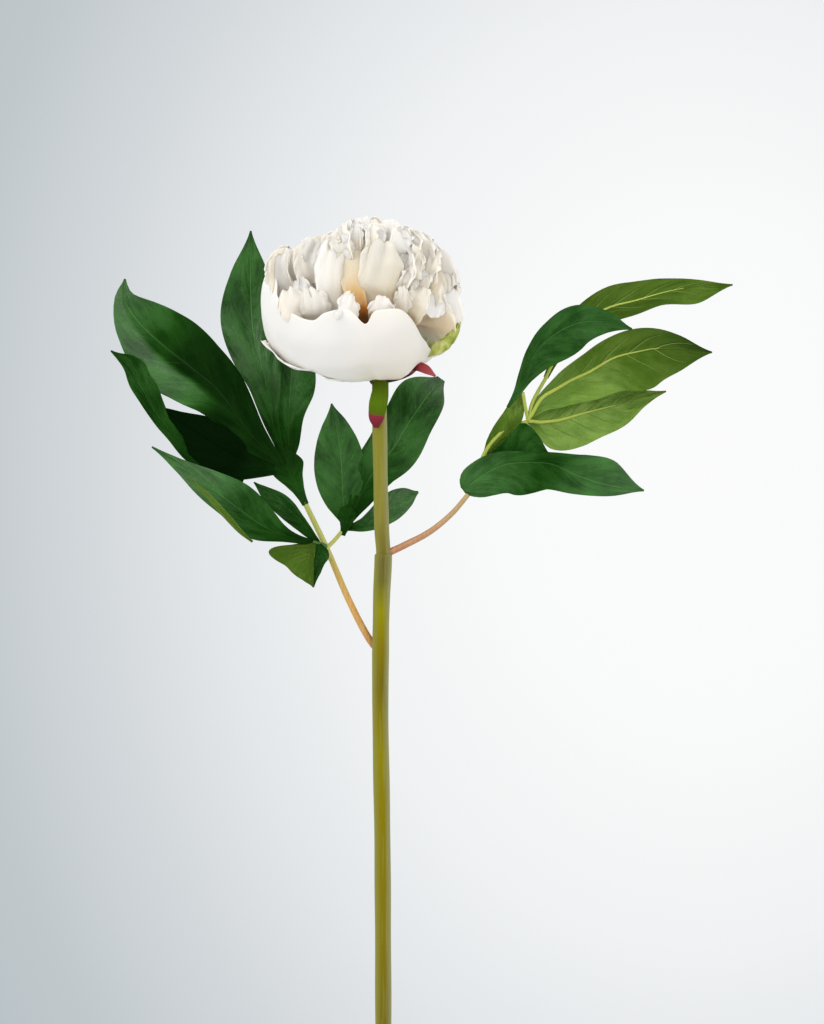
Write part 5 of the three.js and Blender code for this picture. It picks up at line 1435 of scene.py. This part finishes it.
def make_floor():
    """A pale matt floor whose edge fades into the backdrop."""
    radius = 1.6
    turn = np.linspace(0, 2 * np.pi, 97)[:-1]
    places = [(0.0, 0.0, 0.0)] + [(radius * math.cos(a), radius * math.sin(a), 0.0) for a in turn]
    faces = [(0, 1 + k, 1 + (k + 1) % len(turn)) for k in range(len(turn))]
    mesh = bpy.data.meshes.new("studio_floor")
    mesh.from_pydata(places, [], faces)
    material, tree = new_material("matt_studio_floor")
    body = add(tree, "TexCoord").outputs["Object"]
    away = add(tree, "VectorMath", [body], operation="LENGTH").outputs["Value"]
    fade = add(tree, "MapRange", [away, 0.35, 1.2], interpolation_type="SMOOTHSTEP")
    paint = add(tree, "BsdfDiffuse", {"Color": "#cfd2d4"})
    mixed = add(tree, "MixShader", [fade, paint, add(tree, "BsdfTransparent")])
    add(tree, "OutputMaterial", [mixed])
    mesh.materials.append(material)
    floor = stand("studio_floor", mesh)
    floor.visible_glossy = False


# The way to the brightest spot of the backdrop, a glow painted into it, how much lower than wide that spot
# is, and how bright the soft light from all round is.
GLOW = (0.097, 1.0, 0.012)
GLOW_HEIGHT = 0.8
SURROUND = 1.13


def make_surround():
    """A pale backdrop with a painted glow, brightest right of the middle, and a plain soft light from all
    round.
    """
    world = bpy.data.worlds.new("light_tent")
    world.use_nodes = True
    tree = world.node_tree
    tree.nodes.clear()
    ray = add(tree, "TexCoord").outputs["Generated"]
    squeeze = np.array([1.0, 1.0, GLOW_HEIGHT])
    flatter = add(tree, "VectorMath", [ray, squeeze], operation="MULTIPLY")
    glow = unit(np.array(GLOW)) * squeeze
    apart = add(tree, "VectorMath", [flatter, glow], operation="DISTANCE").outputs["Value"]
    shade = add(tree, "ValToRGB", [apart], [
        (0.0, "#fbfbfc"), (0.07, "#f9fafa"), (0.125, "#f0f2f3"), (0.165, "#e4e7ea"), (0.205, "#d3d8db"),
        (0.25, "#c1c8cc"), (0.28, "#b8c2c6"), (1.0, "#c9cfd3"),
    ])
    backdrop = add(tree, "Background", {"Color": shade, "Strength": 1.0})
    lamp = add(tree, "Background", {"Color": "#fffdfa", "Strength": SURROUND})
    path = add(tree, "LightPath").outputs["Is Camera Ray"]
    add(tree, "OutputWorld", [add(tree, "MixShader", [path, lamp, backdrop])])
    bpy.context.scene.world = world


def soft_light(name, place, size, power):
    """A round softbox that faces the bloom. size is in metres and power in watts."""
    data = bpy.data.lights.new(name, "AREA")
    data.shape = "DISK"
    data.size = size
    data.energy = power
    data.color = linear("#fffdf8")[:3]
    light = stand(name, data)
    light.location = place
    light.rotation_mode = "QUATERNION"
    light.rotation_quaternion = (Vector((0.0, 0.0, 0.6)) - Vector(place)).to_track_quat("-Z", "Y")
    light.visible_camera = False


def make_camera():
    data = bpy.data.cameras.new("viewer")
    data.sensor_width = 36
    data.lens = 104.2
    data.dof.use_dof = False
    data.clip_end = 50
    camera = stand("viewer", data)
    camera.location = (15.12 * MM, -EYE["away"] * MM, 498.48 * MM)
    camera.rotation_euler = (math.pi / 2, 0, 0)
    bpy.context.scene.camera = camera


make_floor()
make_surround()
soft_light("key_softbox", (-1.9, -1.6, 1.3), 1.0, 15.5)
soft_light("right_softbox", (1.5, -1.7, 1.2), 1.2, 8.5)
make_camera()
bpy.context.scene.view_settings.view_transform = "Standard"
